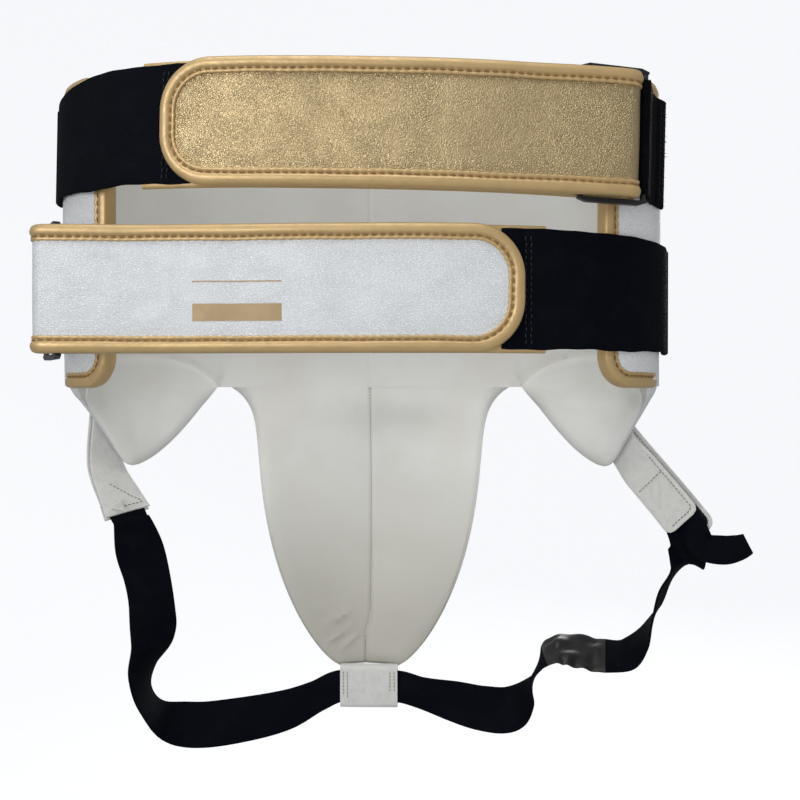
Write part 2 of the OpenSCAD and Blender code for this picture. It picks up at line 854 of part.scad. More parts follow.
module lower_elastic() { color(black) at_lower() elastic_body(lower, 181); }
module lower_strap() { color(white) at_lower() strap_body(lower); }
module lower_strap_binding() { color(gold) at_lower() strap_edges(lower); }
module lower_loop_patch() { color(black) at_lower() strap_loop_patch(lower); }
module lower_tail() { color(white) at_lower() tail_body(lower); }
module lower_tail_binding() { color(gold) at_lower() tail_edges(lower); }
module lower_hook_patch() { color(black) at_lower() strap_hook_patch(lower); }
module lower_ring() { color(black) at_lower() ring_body(lower_bar(), lower_ring_turn); }

module lower_ring_keeper() {
  color(black) at_lower() keeper_body(keeper_bar(lower_bar(), lower_ring_turn), 338, 348);
}

belt_outer_shell();
belt_foam();
belt_lining();
belt_binding();
left_hip_cover();
left_hip_foam();
left_hip_lining();
right_hip_cover();
right_hip_foam();
right_hip_lining();
cup_cover();
cup_outer_foam();
hard_cup();
cup_inner_foam();
cup_lining_left();
cup_lining_right();
cup_loop();
leg_strap();
left_tab_inner_leaf();
left_tab_outer_leaf();
right_tab_inner_leaf();
right_tab_outer_leaf();
right_tab_hook();
right_tab_loop();
upper_elastic();
upper_strap();
upper_strap_binding();
upper_loop_patch();
upper_tail();
upper_tail_binding();
upper_hook_patch();
upper_ring();
upper_ring_keeper();
lower_elastic();
lower_strap();
lower_strap_binding();
lower_loop_patch();
lower_tail();
lower_tail_binding();
lower_hook_patch();
lower_ring();
lower_ring_keeper();
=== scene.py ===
"""Looks of the groin protector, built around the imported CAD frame.

Lengths in this script are millimetres in the row frame, and become metres when a mesh is made.
Flat pieces are drawn as patterns: l runs along a piece, z across it and d out of its face.
A Wrap then bends the pattern round the waist or through a ring, as the CAD does.
"""

import math

import bmesh
import bpy
import numpy as np
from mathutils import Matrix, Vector


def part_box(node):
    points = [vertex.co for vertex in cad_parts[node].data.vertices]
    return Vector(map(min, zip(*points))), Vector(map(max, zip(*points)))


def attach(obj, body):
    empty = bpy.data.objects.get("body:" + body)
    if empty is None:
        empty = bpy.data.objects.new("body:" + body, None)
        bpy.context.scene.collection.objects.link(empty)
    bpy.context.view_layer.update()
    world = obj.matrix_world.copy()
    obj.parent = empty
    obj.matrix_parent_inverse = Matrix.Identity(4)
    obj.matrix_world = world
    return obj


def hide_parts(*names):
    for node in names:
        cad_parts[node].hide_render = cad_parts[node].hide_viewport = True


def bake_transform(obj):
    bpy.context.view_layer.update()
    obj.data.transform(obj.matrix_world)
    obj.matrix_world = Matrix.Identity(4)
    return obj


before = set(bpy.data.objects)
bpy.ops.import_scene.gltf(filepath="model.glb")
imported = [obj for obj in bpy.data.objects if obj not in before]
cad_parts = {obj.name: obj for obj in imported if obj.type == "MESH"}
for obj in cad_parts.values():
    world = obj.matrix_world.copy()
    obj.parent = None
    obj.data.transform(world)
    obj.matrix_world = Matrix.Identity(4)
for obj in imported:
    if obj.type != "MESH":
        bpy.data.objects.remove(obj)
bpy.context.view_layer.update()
random = np.random.default_rng(11)

MM = 0.001


def node_box(node):
    lo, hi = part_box(node)
    return np.array(lo) / MM, np.array(hi) / MM


# ---- Driving dimensions, those of the CAD, with places taken from the frame ----

BELT_LO, BELT_HI = node_box("belt_outer_shell")
LOOP_LO, LOOP_HI = node_box("cup_loop")
CUP_LO, CUP_HI = node_box("cup_lining_left")

BELT_T = 12.0
WAIST_HALF_W = BELT_HI[0] - BELT_T
WAIST_FRONT = 86.0
WAIST_BACK = 72.0
WAIST_POWER = 2.5
BELT_TOP = BELT_HI[2]
BELT_BOTTOM = BELT_LO[2]
BELT_END = 130.5  # degrees from the front to each end of the belt
BELT_CORNER = 17.0
BINDING_A = 104.0  # degrees from the front to where the bottom edge's binding starts
BINDING_HALF = 3.4  # half the thickness that the belt's binding closes over
SKIN = 1.4

STRAP_H = 64.0
STRAP_T = 2.6
STRAP_OFF = 16.5
FOLD_R = 7.35
FASTENED = 8.7
LEAD_IN = 60.0
TAIL_CORNER = 26.0
PATCH_T = 1.6
ELASTIC_T = 1.5
UPPER_Z = 49.0
UPPER_TILT = math.radians(1.3)
LOWER_Z = -36.0
RING_W = 36.0
RING_BAR = 1.5

CUP_BOTTOM = CUP_LO[2]
CUP_TOP = CUP_HI[2]
CUP_TOP_A = 30.3  # degrees from the front to each side of the cup where it leaves the belt
CUP_TIP_W = 20.0
CUP_BODY_W = 78.0
CUP_BULGE = 15.0
HARD_T = 2.4
SEAM_JOG = -2.8
SEAM_JOG_H = 0.84  # depth ratio where the seam jogs aside
# Folds in the cup's lining: their two ends, width and height
PLEATS = [
    ((-40, -236), (-16, -247), 2.6, 1.8),
    ((-33, -252), (-10, -240), 2.2, 2.0),
    ((-30, -262), (-9, -250), 2.0, 1.9),
    ((-22, -268), (-6, -256), 1.8, 1.5),
    ((10, -243), (30, -236), 3.0, 0.7),
]

HIP_DROP = 52.0
HIP_TIP = 63.0  # degrees from the front to the tip, and from the tip to either end
HIP_TO_FRONT = 29.0
HIP_TO_BACK = 35.0
HIP_ROUND = 7.5

STITCH = 4.5  # pitch of the gold stitching
GROOVE = 5.2  # how far in from an edge its stitching runs
GOLD_R = 0.36  # radius of the gold thread


# ---- Small mathematics ----


def smooth(t):
    t = np.clip(t, 0, 1)
    return t * t * (3 - 2 * t)


def mix(a, b, t):
    return a + (b - a) * t


def bell(x, width):
    return np.exp(-((x / width) ** 2))


def signed_pow(v, p):
    return np.sign(v) * np.abs(v) ** p


def unit(v):
    v = np.asarray(v, float)
    return v / np.maximum(np.linalg.norm(v, axis=-1, keepdims=True), 1e-9)


def pack(*values):
    """One array of points from the numbers or grids of their coordinates."""
    return np.stack(np.broadcast_arrays(*values), -1)


def columns_at(at, s, table):
    """Every column of a table over s, read at at."""
    return np.stack([np.interp(at, s, column) for column in table.T], -1)


def lengths(points):
    """Distance along a polyline to each of its points."""
    step = np.linalg.norm(np.diff(points, axis=0), axis=1)
    return np.concatenate([[0], np.cumsum(step)])


def resample(points, step):
    s = lengths(points)
    n = max(2, int(round(s[-1] / step)) + 1)
    return columns_at(np.linspace(0, s[-1], n), s, points)


def curve_through(points, n, closed=False):
    """Catmull-Rom curve through the points, n steps between each two."""
    p = np.asarray(points, float)
    if closed:
        a, b, c, d = np.roll(p, 1, 0), p, np.roll(p, -1, 0), np.roll(p, -2, 0)
    else:
        index = np.arange(len(p) - 1)
        a, b, c, d = (p[np.clip(index + k, 0, len(p) - 1)] for k in (-1, 0, 1, 2))
    k = (np.arange(n) / n)[:, None, None]
    out = 0.5 * (2 * b + (c - a) * k + (2 * a - 5 * b + 4 * c - d) * k**2 + (3 * b - a - 3 * c + d) * k**3)
    out = out.transpose(1, 0, 2).reshape(-1, p.shape[1])
    return out if closed else np.vstack([out, p[-1]])


def ripple(x, z, size, seed):
    """Soft uneven height from -1 to 1 with features about size across."""
    rng = np.random.default_rng(seed)
    total = np.zeros(np.broadcast(x, z).shape)
    for _ in range(7):
        turn, phase = rng.uniform(0, 2 * math.pi, 2)
        wave = size * rng.uniform(0.7, 1.7)
        total += np.sin(2 * math.pi * (x * math.cos(turn) + z * math.sin(turn)) / wave + phase)
    return total / 4


def waist(a, d):
    """Plan points at angle a, in degrees from the front towards the left, and d out of the waist curve."""
    a = np.radians(np.asarray(a, float) + 90)
    reach = np.where(np.sin(a) >= 0, WAIST_FRONT, WAIST_BACK)
    x = WAIST_HALF_W * signed_pow(np.cos(a), 2 / WAIST_POWER)
    y = reach * signed_pow(np.sin(a), 2 / WAIST_POWER)
    n = pack(*(signed_pow(v / r, WAIST_POWER - 1) / r for v, r in ((x, WAIST_HALF_W), (y, reach))))
    return pack(x, y) + np.asarray(d)[..., None] * unit(n)


# ---- Wraps: flat patterns bent along a plan curve ----


class Wrap:
    """Bends (l, z, d) along the plan curve through points, with d along normals."""

    def __init__(self, l, points, normals, place):
        self.l = l
        self.points = points
        self.normals = normals
        self.place = place

    def at(self, l, z, d):
        l, z, d = np.broadcast_arrays(*(np.asarray(v, float) for v in (l, z, d)))
        p = columns_at(l, self.l, self.points)
        n = unit(columns_at(l, self.l, self.normals))
        return self.place(np.concatenate([p + n * d[..., None], z[..., None]], -1))


def in_place(p):
    return p


def at_upper(p):
    x, y, z = p[..., 0], p[..., 1], p[..., 2] + UPPER_Z
    c, s = math.cos(UPPER_TILT), math.sin(UPPER_TILT)
    return pack(c * x + s * z, y, c * z - s * x)


def at_lower(p):
    return p * [-1, 1, 1] + [0, 0, LOWER_Z]


def belt_wrap():
    a = np.linspace(-142, 142, 2400)
    mid = waist(a, BELT_T / 2)
    l = lengths(mid)
    l -= np.interp(0, a, l)
    inner = waist(a, 0.0)
    return a, Wrap(l, inner, unit(mid - inner), in_place)


BELT_A, BELT = belt_wrap()


def belt_l(a):
    """Length along the belt at angle a from the front."""
    return np.interp(a, BELT_A, BELT.l)


BELT_HALF_L = belt_l(BELT_END)


def left_of(points):
    t = unit(np.gradient(points, axis=0))
    return pack(-t[:, 1], t[:, 0])


class Strap(Wrap):
    """A closure strap: l is 0 where it folds through its ring, below 0 under it and above 0 on its tail."""

    def __init__(self, sewn, free, leave, fold_x, place):
        sewn, free, leave = sewn - 90, free - 90, leave - 90
        run = waist(np.linspace(sewn - 5, leave, 500), STRAP_OFF)
        ahead = waist(np.array([leave - 0.5, leave + 0.5]), STRAP_OFF)
        self.along = unit(ahead[1] - ahead[0])
        self.out = np.array([self.along[1], -self.along[0]])
        foot = run[-1] + self.along * (fold_x - run[-1][0]) / self.along[0]
        self.foot = foot
        self.centre = foot + FOLD_R * self.out
        straight = run[-1] + np.linspace(0, 1, 120)[1:, None] * (foot - run[-1])
        inner = np.vstack([run, straight])
        out = -left_of(inner)
        under = inner + out * STRAP_T / 2
        turn = np.radians(np.linspace(90, -90, 90))[1:-1, None]
        fold = self.centre + (FOLD_R - STRAP_T / 2) * (
            np.cos(turn) * self.along - np.sin(turn) * self.out
        )
        from_foot = np.linalg.norm(inner - foot, axis=1)
        rise = FASTENED + (2 * FOLD_R - FASTENED) * smooth(1 - from_foot / LEAD_IN)
        tail = (inner + out * (rise - STRAP_T / 2)[:, None])[::-1]
        line = np.vstack([under, fold, tail])
        keep = np.concatenate([[True], np.linalg.norm(np.diff(line, axis=0), axis=1) > 1e-4])
        line = line[keep]
        l = lengths(line)
        middle = l[np.argmin(np.linalg.norm(line - (self.centre + self.along * 6.05), axis=1))]
        super().__init__(l - middle, line, left_of(line), place)
        self.start = self.l_near(waist(sewn, STRAP_OFF + STRAP_T / 2), -1)
        self.end = self.l_near(waist(free, STRAP_OFF + FASTENED - STRAP_T / 2), 1)

    def l_near(self, point, side):
        """Length along the strap nearest a plan point, on its tail for side 1 and under it for -1."""
        here = np.linalg.norm(self.points - point, axis=1) + 1e6 * (self.l * side < 0)
        return self.l[np.argmin(here)]

    def plan(self, p):
        """A plan point of the strap, as a place in the row frame in metres."""
        return tuple(self.place(np.array([*p, 0.0])) * MM)


UPPER = Strap(235, 240.5, 306, 141, at_upper)
LOWER = Strap(239, 244.2, 278, 157.5, at_lower)


# ---- Meshes ----


def mesh_object(name, points, faces, shaders, uv=None, sharp=40):
    """A mesh of points in millimetres. Edges that turn by more than sharp degrees stay crisp."""
    mesh = bpy.data.meshes.new(name)
    mesh.from_pydata((np.asarray(points, float) * MM).tolist(), [], [list(map(int, f)) for f in faces])
    if uv is not None:
        layer = mesh.uv_layers.new(name="pattern")
        index = np.zeros(len(mesh.loops), int)
        mesh.loops.foreach_get("vertex_index", index)
        layer.data.foreach_set("uv", (np.asarray(uv, float)[index] * MM).ravel())
    work = bmesh.new()
    work.from_mesh(mesh)
    bmesh.ops.recalc_face_normals(work, faces=work.faces)
    work.to_mesh(mesh)
    work.free()
    for shader in shaders if isinstance(shaders, list) else [shaders]:
        mesh.materials.append(shader.material)
    mesh.shade_smooth()
    mesh.set_sharp_from_angle(angle=math.radians(sharp))
    obj = bpy.data.objects.new(name, mesh)
    bpy.context.scene.collection.objects.link(obj)
    return obj


def grid_faces(n, m, closed=False, start=0):
    i = np.arange(n - 1)[:, None]
    j = np.arange(m if closed else m - 1)[None, :]
    a, b = i * m + j, i * m + (j + 1) % m
    return (np.stack([a, b, b + m, a + m], -1).reshape(-1, 4) + start).tolist()


def slab(name, near, far, shader, uv):
    """A closed solid between two grids of points, which meet along their four sides."""
    n, m = near.shape[:2]
    size = n * m
    faces = grid_faces(n, m) + grid_faces(n, m, start=size)
    index = np.arange(size).reshape(n, m)
    rim = np.concatenate([index[0, :], index[1:, -1], index[-1, -2::-1], index[-2:0:-1, 0]])
    after = np.roll(rim, -1)
    faces += pack(rim, after, after + size, rim + size).tolist()
    points = np.concatenate([near.reshape(-1, 3), far.reshape(-1, 3)])
    return mesh_object(name, points, faces, shader, np.vstack([uv.reshape(-1, 2)] * 2))


def end_caps(n, k, start=0):
    """The first and last of n rings of k points, as faces."""
    last = start + n * k
    return [list(range(start, start + k)), list(range(last - 1, last - k - 1, -1))]


def sweep(name, rings, shader, uv, **more):
    """A solid through rings of points, with flat ends."""
    n, k = rings.shape[:2]
    faces = grid_faces(n, k, closed=True) + end_caps(n, k)
    return mesh_object(name, rings.reshape(-1, 3), faces, shader, uv.reshape(-1, 2), **more)


def join(name, objects):
    """Several meshes as one object, which takes the first one's place."""
    with bpy.context.temp_override(
        active_object=objects[0], selected_editable_objects=objects, selected_objects=objects
    ):
        bpy.ops.object.join()
    objects[0].name = name
    objects[0].data.name = name
    return objects[0]


def settle(piece, slot, *nodes, body="protector"):
    """Puts a piece on a body, in place of CAD nodes. The slot is not used."""
    if nodes:
        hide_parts(*nodes)
    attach(piece, body)
    return piece


def threads(name, runs, radius, shader):
    """Short thick threads as one mesh. Each run is the points that a thread follows, thin at its ends."""
    sides = 6
    turn = np.linspace(0, 2 * math.pi, sides, endpoint=False)
    points, faces, count = [], [], 0
    for run in runs:
        run = np.asarray(run, float)
        n = len(run)
        t = unit(np.gradient(run, axis=0))
        helper = np.where(np.abs(t[:, 2:3]) < 0.9, [[0.0, 0.0, 1.0]], [[1.0, 0.0, 0.0]])
        a = unit(np.cross(t, helper))
        b = np.cross(t, a)
        swell = radius * np.sqrt(np.clip(1 - np.linspace(-0.96, 0.96, n) ** 4, 0, 1))
        ring = run[:, None] + swell[:, None, None] * (
            np.cos(turn)[None, :, None] * a[:, None] + np.sin(turn)[None, :, None] * b[:, None]
        )
        points.append(ring.reshape(-1, 3))
        faces += grid_faces(n, sides, closed=True, start=count) + end_caps(n, sides, count)
        count += n * sides
    return mesh_object(name, np.concatenate(points), faces, shader)


def stitch_runs(line, lift, pitch=STITCH, share=0.72, rise=0.45):
    """Points of each stitch along a line. lift holds the direction out of the cloth at each point."""
    s = lengths(line)
    count = max(1, int(s[-1] // pitch))
    runs = []
    for k in range(count):
        at = (k + 0.5) * pitch + np.linspace(-0.5, 0.5, 5) * pitch * share
        arch = rise * np.cos(np.linspace(-1.35, 1.35, 5))
        runs.append(columns_at(at, s, line) + unit(columns_at(at, s, lift)) * arch[:, None])
    return runs


def stitch_row(wrap, l, z, d, **more):
    """Stitches along a line in a pattern, at height d out of its face."""
    line = wrap.at(l, z, d)
    return stitch_runs(line, wrap.at(l, z, np.asarray(d) + 1) - line, **more)


def straight(a, b):
    """Pattern line from a to b, with a point for each millimetre."""
    n = max(2, int(math.dist(a, b)) + 1)
    return np.linspace(a, b, n).T


# ---- Materials ----


WAVES_A_METRE = 0.314159  # a Wave texture has this many bands in a metre at scale 1


class Shader:
    """A node material with short calls for what this scene needs."""

    def __init__(self, name, colour, roughness, metallic=0.0, sheen=0.0, specular=0.5):
        self.material = bpy.data.materials.new(name)
        self.material.use_nodes = True
        self.tree = self.material.node_tree
        self.bsdf = self.tree.nodes["Principled BSDF"]
        for key, value in (
            ("Base Color", (*colour, 1)), ("Roughness", roughness), ("Metallic", metallic),
            ("Sheen Weight", sheen), ("Specular IOR Level", specular),
        ):
            self.bsdf.inputs[key].default_value = value
        self.colour = colour

    def node(self, kind, **inputs):
        node = self.tree.nodes.new("ShaderNode" + kind)
        for key, value in inputs.items():
            if hasattr(node, key):
                setattr(node, key, value)
            else:
                self.feed(node.inputs[key.replace("_", " ")], value)
        return node

    def feed(self, socket, value):
        if isinstance(value, bpy.types.NodeSocket):
            self.tree.links.new(value, socket)
        else:
            socket.default_value = value

    def coords(self, pattern, stretch=(1, 1, 1)):
        """Coordinates in metres: along the pattern, or through the object."""
        source = self.node("TexCoord").outputs["UV" if pattern else "Object"]
        mapping = self.node("Mapping", Scale=stretch)
        self.feed(mapping.inputs["Vector"], source)
        return mapping.outputs["Vector"]

    # The patterns below take the size of their features in millimetres

    def noise(self, vector, size, detail=2.0, rough=0.5, distort=0.0):
        inputs = {"Scale": 1 / (size * MM), "Detail": detail, "Roughness": rough, "Distortion": distort}
        return self.node("TexNoise", Vector=vector, **inputs).outputs["Fac"]

    def cells(self, vector, size, feature="DISTANCE_TO_EDGE"):
        node = self.node("TexVoronoi", feature=feature, Vector=vector, Scale=1 / (size * MM))
        return node.outputs["Distance"]

    def bands(self, vector, size, direction, distort):
        inputs = {"Scale": WAVES_A_METRE / (size * MM), "Distortion": distort}
        return self.node("TexWave", bands_direction=direction, Vector=vector, **inputs).outputs["Fac"]

    def span(self, value, low, high, to_low=0.0, to_high=1.0):
        node = self.node("MapRange", interpolation_type="SMOOTHSTEP")
        for key, v in (("From Min", low), ("From Max", high), ("To Min", to_low), ("To Max", to_high)):
            node.inputs[key].default_value = v
        self.feed(node.inputs["Value"], value)
        return node.outputs["Result"]

    def maths(self, operation, a, b):
        node = self.node("Math", operation=operation)
        self.feed(node.inputs[0], a)
        self.feed(node.inputs[1], b)
        return node.outputs[0]

    def tint(self, factor, other):
        """Mixes the base colour with another by factor."""
        node = self.node("Mix", data_type="RGBA")
        self.feed(node.inputs["Factor"], factor)
        current = self.bsdf.inputs["Base Color"]
        if current.is_linked:
            self.feed(node.inputs[6], current.links[0].from_socket)
        else:
            node.inputs[6].default_value = current.default_value
        node.inputs[7].default_value = (*other, 1)
        self.feed(current, node.outputs[2])

    def shade(self, amount):
        """The base colour darkened by amount."""
        return tuple(c * (1 - amount) for c in self.colour)

    def rough(self, value):
        self.feed(self.bsdf.inputs["Roughness"], value)

    def bump(self, height, depth, strength=1.0):
        """Adds a bump of depth millimetres."""
        node = self.node("Bump", Height=height, Distance=depth * MM, Strength=strength)
        normal = self.bsdf.inputs["Normal"]
        if normal.is_linked:
            self.feed(node.inputs["Normal"], normal.links[0].from_socket)
        self.feed(normal, node.outputs["Normal"])


def grained_leather(name, colour, roughness, metallic, pattern, grain=1.0, depth=0.12, stretch=(1, 1, 1)):
    """Pebbled leather: creases between uneven cells, in patches deeper and shallower."""
    s = Shader(name, colour, roughness, metallic)
    vector = s.coords(pattern, stretch)
    warp = s.node("TexNoise", Vector=vector, Scale=1 / (1.6 * grain * MM), Detail=1.0)
    moved = s.node("VectorMath", operation="MULTIPLY_ADD")
    s.feed(moved.inputs[0], warp.outputs["Color"])
    moved.inputs[1].default_value = (0.9 * grain * MM,) * 3
    s.feed(moved.inputs[2], vector)
    creases = s.span(s.cells(moved.outputs[0], 1.25 * grain), 0.0, 0.32)
    fine = s.noise(vector, 0.45 * grain, detail=3.0)
    patches = s.span(s.noise(vector, 14, detail=2.0), 0.3, 0.7, 0.55, 1.0)
    s.bump(s.maths("MULTIPLY", creases, patches), depth)
    s.bump(fine, depth * 0.45)
    s.bump(s.noise(vector, 5), depth * 1.6, strength=0.6)
    # Painted shade: the creases of the grain are darkened
    s.tint(s.span(creases, 0.0, 0.7, 0.6, 0.0), s.shade(0.35))
    s.tint(s.span(s.noise(vector, 40), 0.35, 0.7, 0.0, 0.25), s.shade(0.08))
    s.rough(s.span(fine, 0.2, 0.8, roughness - 0.06, roughness + 0.08))
    return s


def smooth_vinyl(name, colour, roughness, metallic):
    """Rolled binding: smooth, with faint unevenness."""
    s = Shader(name, colour, roughness, metallic)
    vector = s.coords(False)
    s.bump(s.noise(vector, 0.8, detail=3.0), 0.06)
    s.bump(s.noise(vector, 6), 0.12)
    s.tint(s.span(s.noise(vector, 9), 0.35, 0.75, 0.0, 0.5), s.shade(0.16))
    s.rough(s.span(s.noise(vector, 3), 0.2, 0.8, roughness - 0.08, roughness + 0.1))
    return s


def soft_lining(name, colour):
    """Smooth matt synthetic leather of the side that meets the wearer."""
    s = Shader(name, colour, 0.55)
    vector = s.coords(False)
    s.bump(s.noise(vector, 0.5, detail=3.0), 0.03)
    s.bump(s.noise(vector, 22, detail=3.0, distort=0.6), 0.5, strength=0.5)
    s.tint(s.span(s.noise(vector, 45, detail=3.0), 0.35, 0.75, 0.0, 0.6), (0.74, 0.72, 0.66))
    s.tint(s.span(s.noise(vector, 8, detail=4.0), 0.55, 0.8, 0.0, 0.25), s.shade(0.1))
    # Painted shade: the lining darkens towards the bottom of the cup, where less light reaches
    height = s.node("SeparateXYZ", Vector=s.node("TexCoord").outputs["Object"]).outputs["Z"]
    s.tint(s.span(height, -0.10, -0.27, 0.0, 1.0), (0.46, 0.445, 0.385))
    return s


def suede(name, colour):
    s = Shader(name, colour, 0.75, sheen=0.2)
    vector = s.coords(False)
    s.bump(s.noise(vector, 0.35, detail=4.0), 0.05)
    s.bump(s.noise(vector, 5, detail=3.0), 0.35, strength=0.6)
    s.tint(s.span(s.noise(vector, 4, detail=4.0), 0.4, 0.75, 0.0, 0.55), s.shade(0.16))
    return s


def woven(name, colour, rib):
    """Elastic or webbing: ribs along the pattern, crossed by finer weft."""
    s = Shader(name, colour, 0.8, specular=0.06)
    vector = s.coords(True)
    ribs = s.bands(vector, rib, "Y", distort=0.3)
    weft = s.bands(vector, rib * 0.6, "X", distort=0.5)
    cloth = s.maths("MULTIPLY", ribs, s.maths("ADD", s.maths("MULTIPLY", weft, 0.5), 0.5))
    s.bump(cloth, 0.16)
    s.bump(s.noise(vector, 0.4, detail=3.0), 0.08)
    light = tuple(min(1.0, c * 2.2 + 0.003) for c in colour)
    # Painted highlight: the raised ribs and weft are lightened, and the hollows between them stay dark
    s.tint(s.span(cloth, 0.5, 1.0, 0.0, 0.6), light)
    s.tint(s.span(s.noise(vector, 18, detail=3.0), 0.45, 0.75, 0.0, 0.3), light)
    return s


def fastening(name, colour, hooked):
    """Hook or loop tape."""
    s = Shader(name, colour, 0.85, sheen=0.0 if hooked else 0.2, specular=0.15)
    vector = s.coords(True)
    if hooked:
        dots = s.span(s.cells(vector, 1.4, feature="F1"), 0.15, 0.5, 1.0, 0.0)
        s.bump(dots, 0.6)
        # Painted highlight: the raised hooks are lightened
        s.tint(dots, tuple(c * 2.5 + 0.01 for c in colour))
    else:
        s.bump(s.noise(vector, 0.6, detail=5.0, rough=0.7), 0.7)
        s.tint(s.span(s.noise(vector, 1.0, detail=4.0), 0.4, 0.7), tuple(c * 2 + 0.01 for c in colour))
    return s


def plain(name, colour, roughness, metallic=0.0, grain=0.4, depth=0.03):
    """Moulded or spun surface with a fine grain and slight unevenness of colour."""
    s = Shader(name, colour, roughness, metallic)
    vector = s.coords(False)
    s.bump(s.noise(vector, grain, detail=3.0), depth)
    s.tint(s.span(s.noise(vector, 12, detail=3.0), 0.4, 0.7, 0.0, 0.4), s.shade(0.15))
    s.rough(s.span(s.noise(vector, 4), 0.2, 0.8, roughness - 0.06, roughness + 0.08))
    return s


WHITE_PANEL = grained_leather(
    "white_panel", (0.83, 0.855, 0.88), 0.36, 0.0, True, depth=0.24, stretch=(0.75, 1.25, 1)
)
GOLD_PANEL = grained_leather("gold_panel", (0.56, 0.43, 0.235), 0.36, 0.8, True, 0.9, 0.3)
WHITE_COVER = grained_leather("white_cover", (0.83, 0.845, 0.86), 0.45, 0.0, False, 1.0, 0.06)
BINDING = smooth_vinyl("binding_gold", (0.56, 0.39, 0.18), 0.42, 0.3)
LINING = soft_lining("lining_white", (0.82, 0.825, 0.795))
SUEDE = suede("tab_leather", (0.72, 0.72, 0.69))
ELASTIC = woven("black_elastic", (0.0012, 0.002, 0.0045), 1.1)
WEBBING = woven("black_webbing", (0.0015, 0.0016, 0.0025), 1.6)
LOOPS = fastening("loop_tape", (0.012, 0.012, 0.014), False)
HOOKS = fastening("hook_tape", (0.012, 0.012, 0.014), True)
PLASTIC = plain("ring_plastic", (0.010, 0.010, 0.011), 0.42)
HARD = plain("hard_cup_plastic", (0.72, 0.72, 0.70), 0.35, grain=0.8)
FOAM = plain("foam_grey", (0.58, 0.57, 0.53), 0.9, grain=0.7, depth=0.25)
SATIN = plain("black_satin", (0.008, 0.008, 0.009), 0.36, grain=0.6, depth=0.05)
GOLD_THREAD = plain("gold_thread", (0.30, 0.17, 0.06), 0.6, 0.1, grain=0.3)
GREY_THREAD = plain("grey_thread", (0.20, 0.195, 0.175), 0.7, grain=0.3)
BLACK_THREAD = plain("black_thread", (0.009, 0.009, 0.011), 0.7, grain=0.3)
FOIL = plain("gold_print", (0.33, 0.235, 0.12), 0.45, 0.3, grain=0.7, depth=0.04)


# ---- Camera, floor and light ----


def camera():
    data = bpy.data.cameras.new("camera")
    data.sensor_width = 36
    data.lens = 44.55
    obj = bpy.data.objects.new("camera", data)
    obj.location = (0.0415, -0.602, -0.0895)
    obj.rotation_euler = (math.pi / 2 - 0.008, 0, 0.03)
    bpy.context.scene.collection.objects.link(obj)
    bpy.context.scene.camera = obj


def backdrop():
    """Pale floor that curves up all round."""
    floor_z, flat, curve, top = -620.0, 1300.0, 700.0, 1900.0
    turn = np.linspace(0, math.pi / 2, 14)
    radius = np.concatenate([[1.0, flat / 2], flat + curve * np.sin(turn), [flat + curve]])
    height = np.concatenate([[0, 0], curve * (1 - np.cos(turn)), [top]]) + floor_z
    sides = 96
    around = np.linspace(0, 2 * math.pi, sides, endpoint=False)
    radius, height = radius[:, None], height[:, None]
    rings = pack(radius * np.cos(around), radius * np.sin(around), height)
    s = Shader("backdrop", (0.3, 0.3, 0.3), 0.9, specular=0.1)
    s.bsdf.inputs["Emission Color"].default_value = (0.93, 0.94, 0.965, 1)
    s.bsdf.inputs["Emission Strength"].default_value = 0.86
    obj = mesh_object("backdrop", rings.reshape(-1, 3), grid_faces(len(radius), sides, closed=True), s)
    # The studio's fall-off is set by the lights alone, so the pale floor doesn't light the object
    obj.visible_diffuse = False
    obj.visible_glossy = False


def area_light(name, place, aim, size, power):
    data = bpy.data.lights.new(name, "AREA")
    data.shape = "RECTANGLE"
    data.size, data.size_y = size
    data.energy = power
    obj = bpy.data.objects.new(name, data)
    obj.location = place
    direction = np.array(aim) - np.array(place)
    obj.rotation_euler = Vector(direction).to_track_quat("-Z", "Y").to_euler()
    bpy.context.scene.collection.objects.link(obj)
    return obj


def lights():
    world = bpy.data.worlds.new("world")
    world.use_nodes = True
    sky = world.node_tree.nodes["Background"].inputs
    sky["Color"].default_value = (0.93, 0.945, 0.97, 1)
    sky["Strength"].default_value = 0.36
    bpy.context.scene.world = world
    bpy.context.scene.view_settings.view_transform = "Standard"
    area_light("key", (-0.5, -0.95, -0.02), (0, 0, -0.05), (0.7, 0.5), 3.2)
    fill = area_light("fill", (0.4, -1.0, -0.22), (0, 0, -0.05), (0.8, 0.6), 2.6)
    fill.visible_glossy = False
    # Seen only in reflections: it puts the gleam on the left half of the gold strap
    gleam = area_light("gleam", (-0.66, -0.93, 0.36), (0, -0.1, 0.04), (0.8, 0.35), 5)
    gleam.visible_diffuse = False
    area_light("front", (0.5, 1.3, 0.3), (0, 0, -0.1), (0.8, 0.6), 7)
    area_light("top", (-0.1, -0.35, 0.95), (0, -0.05, 0), (0.8, 0.5), 5)


# ---- Belt ----


def inside_corner(past_end, past_side, corner):
    """Distance in from an edge with a rounded corner, from the distances past its two straight parts."""
    q = pack(past_end, past_side) + corner
    outside = np.linalg.norm(np.maximum(q, 0), axis=-1) + np.minimum(q.max(-1), 0)
    return corner - outside


def belt_edge(l, z, bottom=True):
    """Distance in from the belt's edge, with or without its bottom edge."""
    low = BELT_BOTTOM if bottom else BELT_BOTTOM - 400
    mid, half = (BELT_TOP + low) / 2, (BELT_TOP - low) / 2
    return inside_corner(np.abs(l) - BELT_HALF_L, np.abs(z - mid) - half, BELT_CORNER)


HIP_FRONT_L = belt_l(HIP_TIP - HIP_TO_FRONT)
HIP_BACK_L = belt_l(HIP_TIP + HIP_TO_BACK)
CUP_TOP_L = belt_l(CUP_TOP_A)


def belt_squeeze(l, z):
    """How much the edge pinches the padding: 1 at a bound or turned edge, 0 inside."""
    side = np.abs(l)
    hip = smooth((side - HIP_FRONT_L + 2) / 6) * smooth((HIP_BACK_L + 2 - side) / 6)
    attached = np.maximum(hip, smooth((CUP_TOP_L + 3 - side) / 6))
    e = mix(belt_edge(l, z), belt_edge(l, z, bottom=False), attached)
    return np.exp(-np.maximum(e - 6.5, 0) / 8)


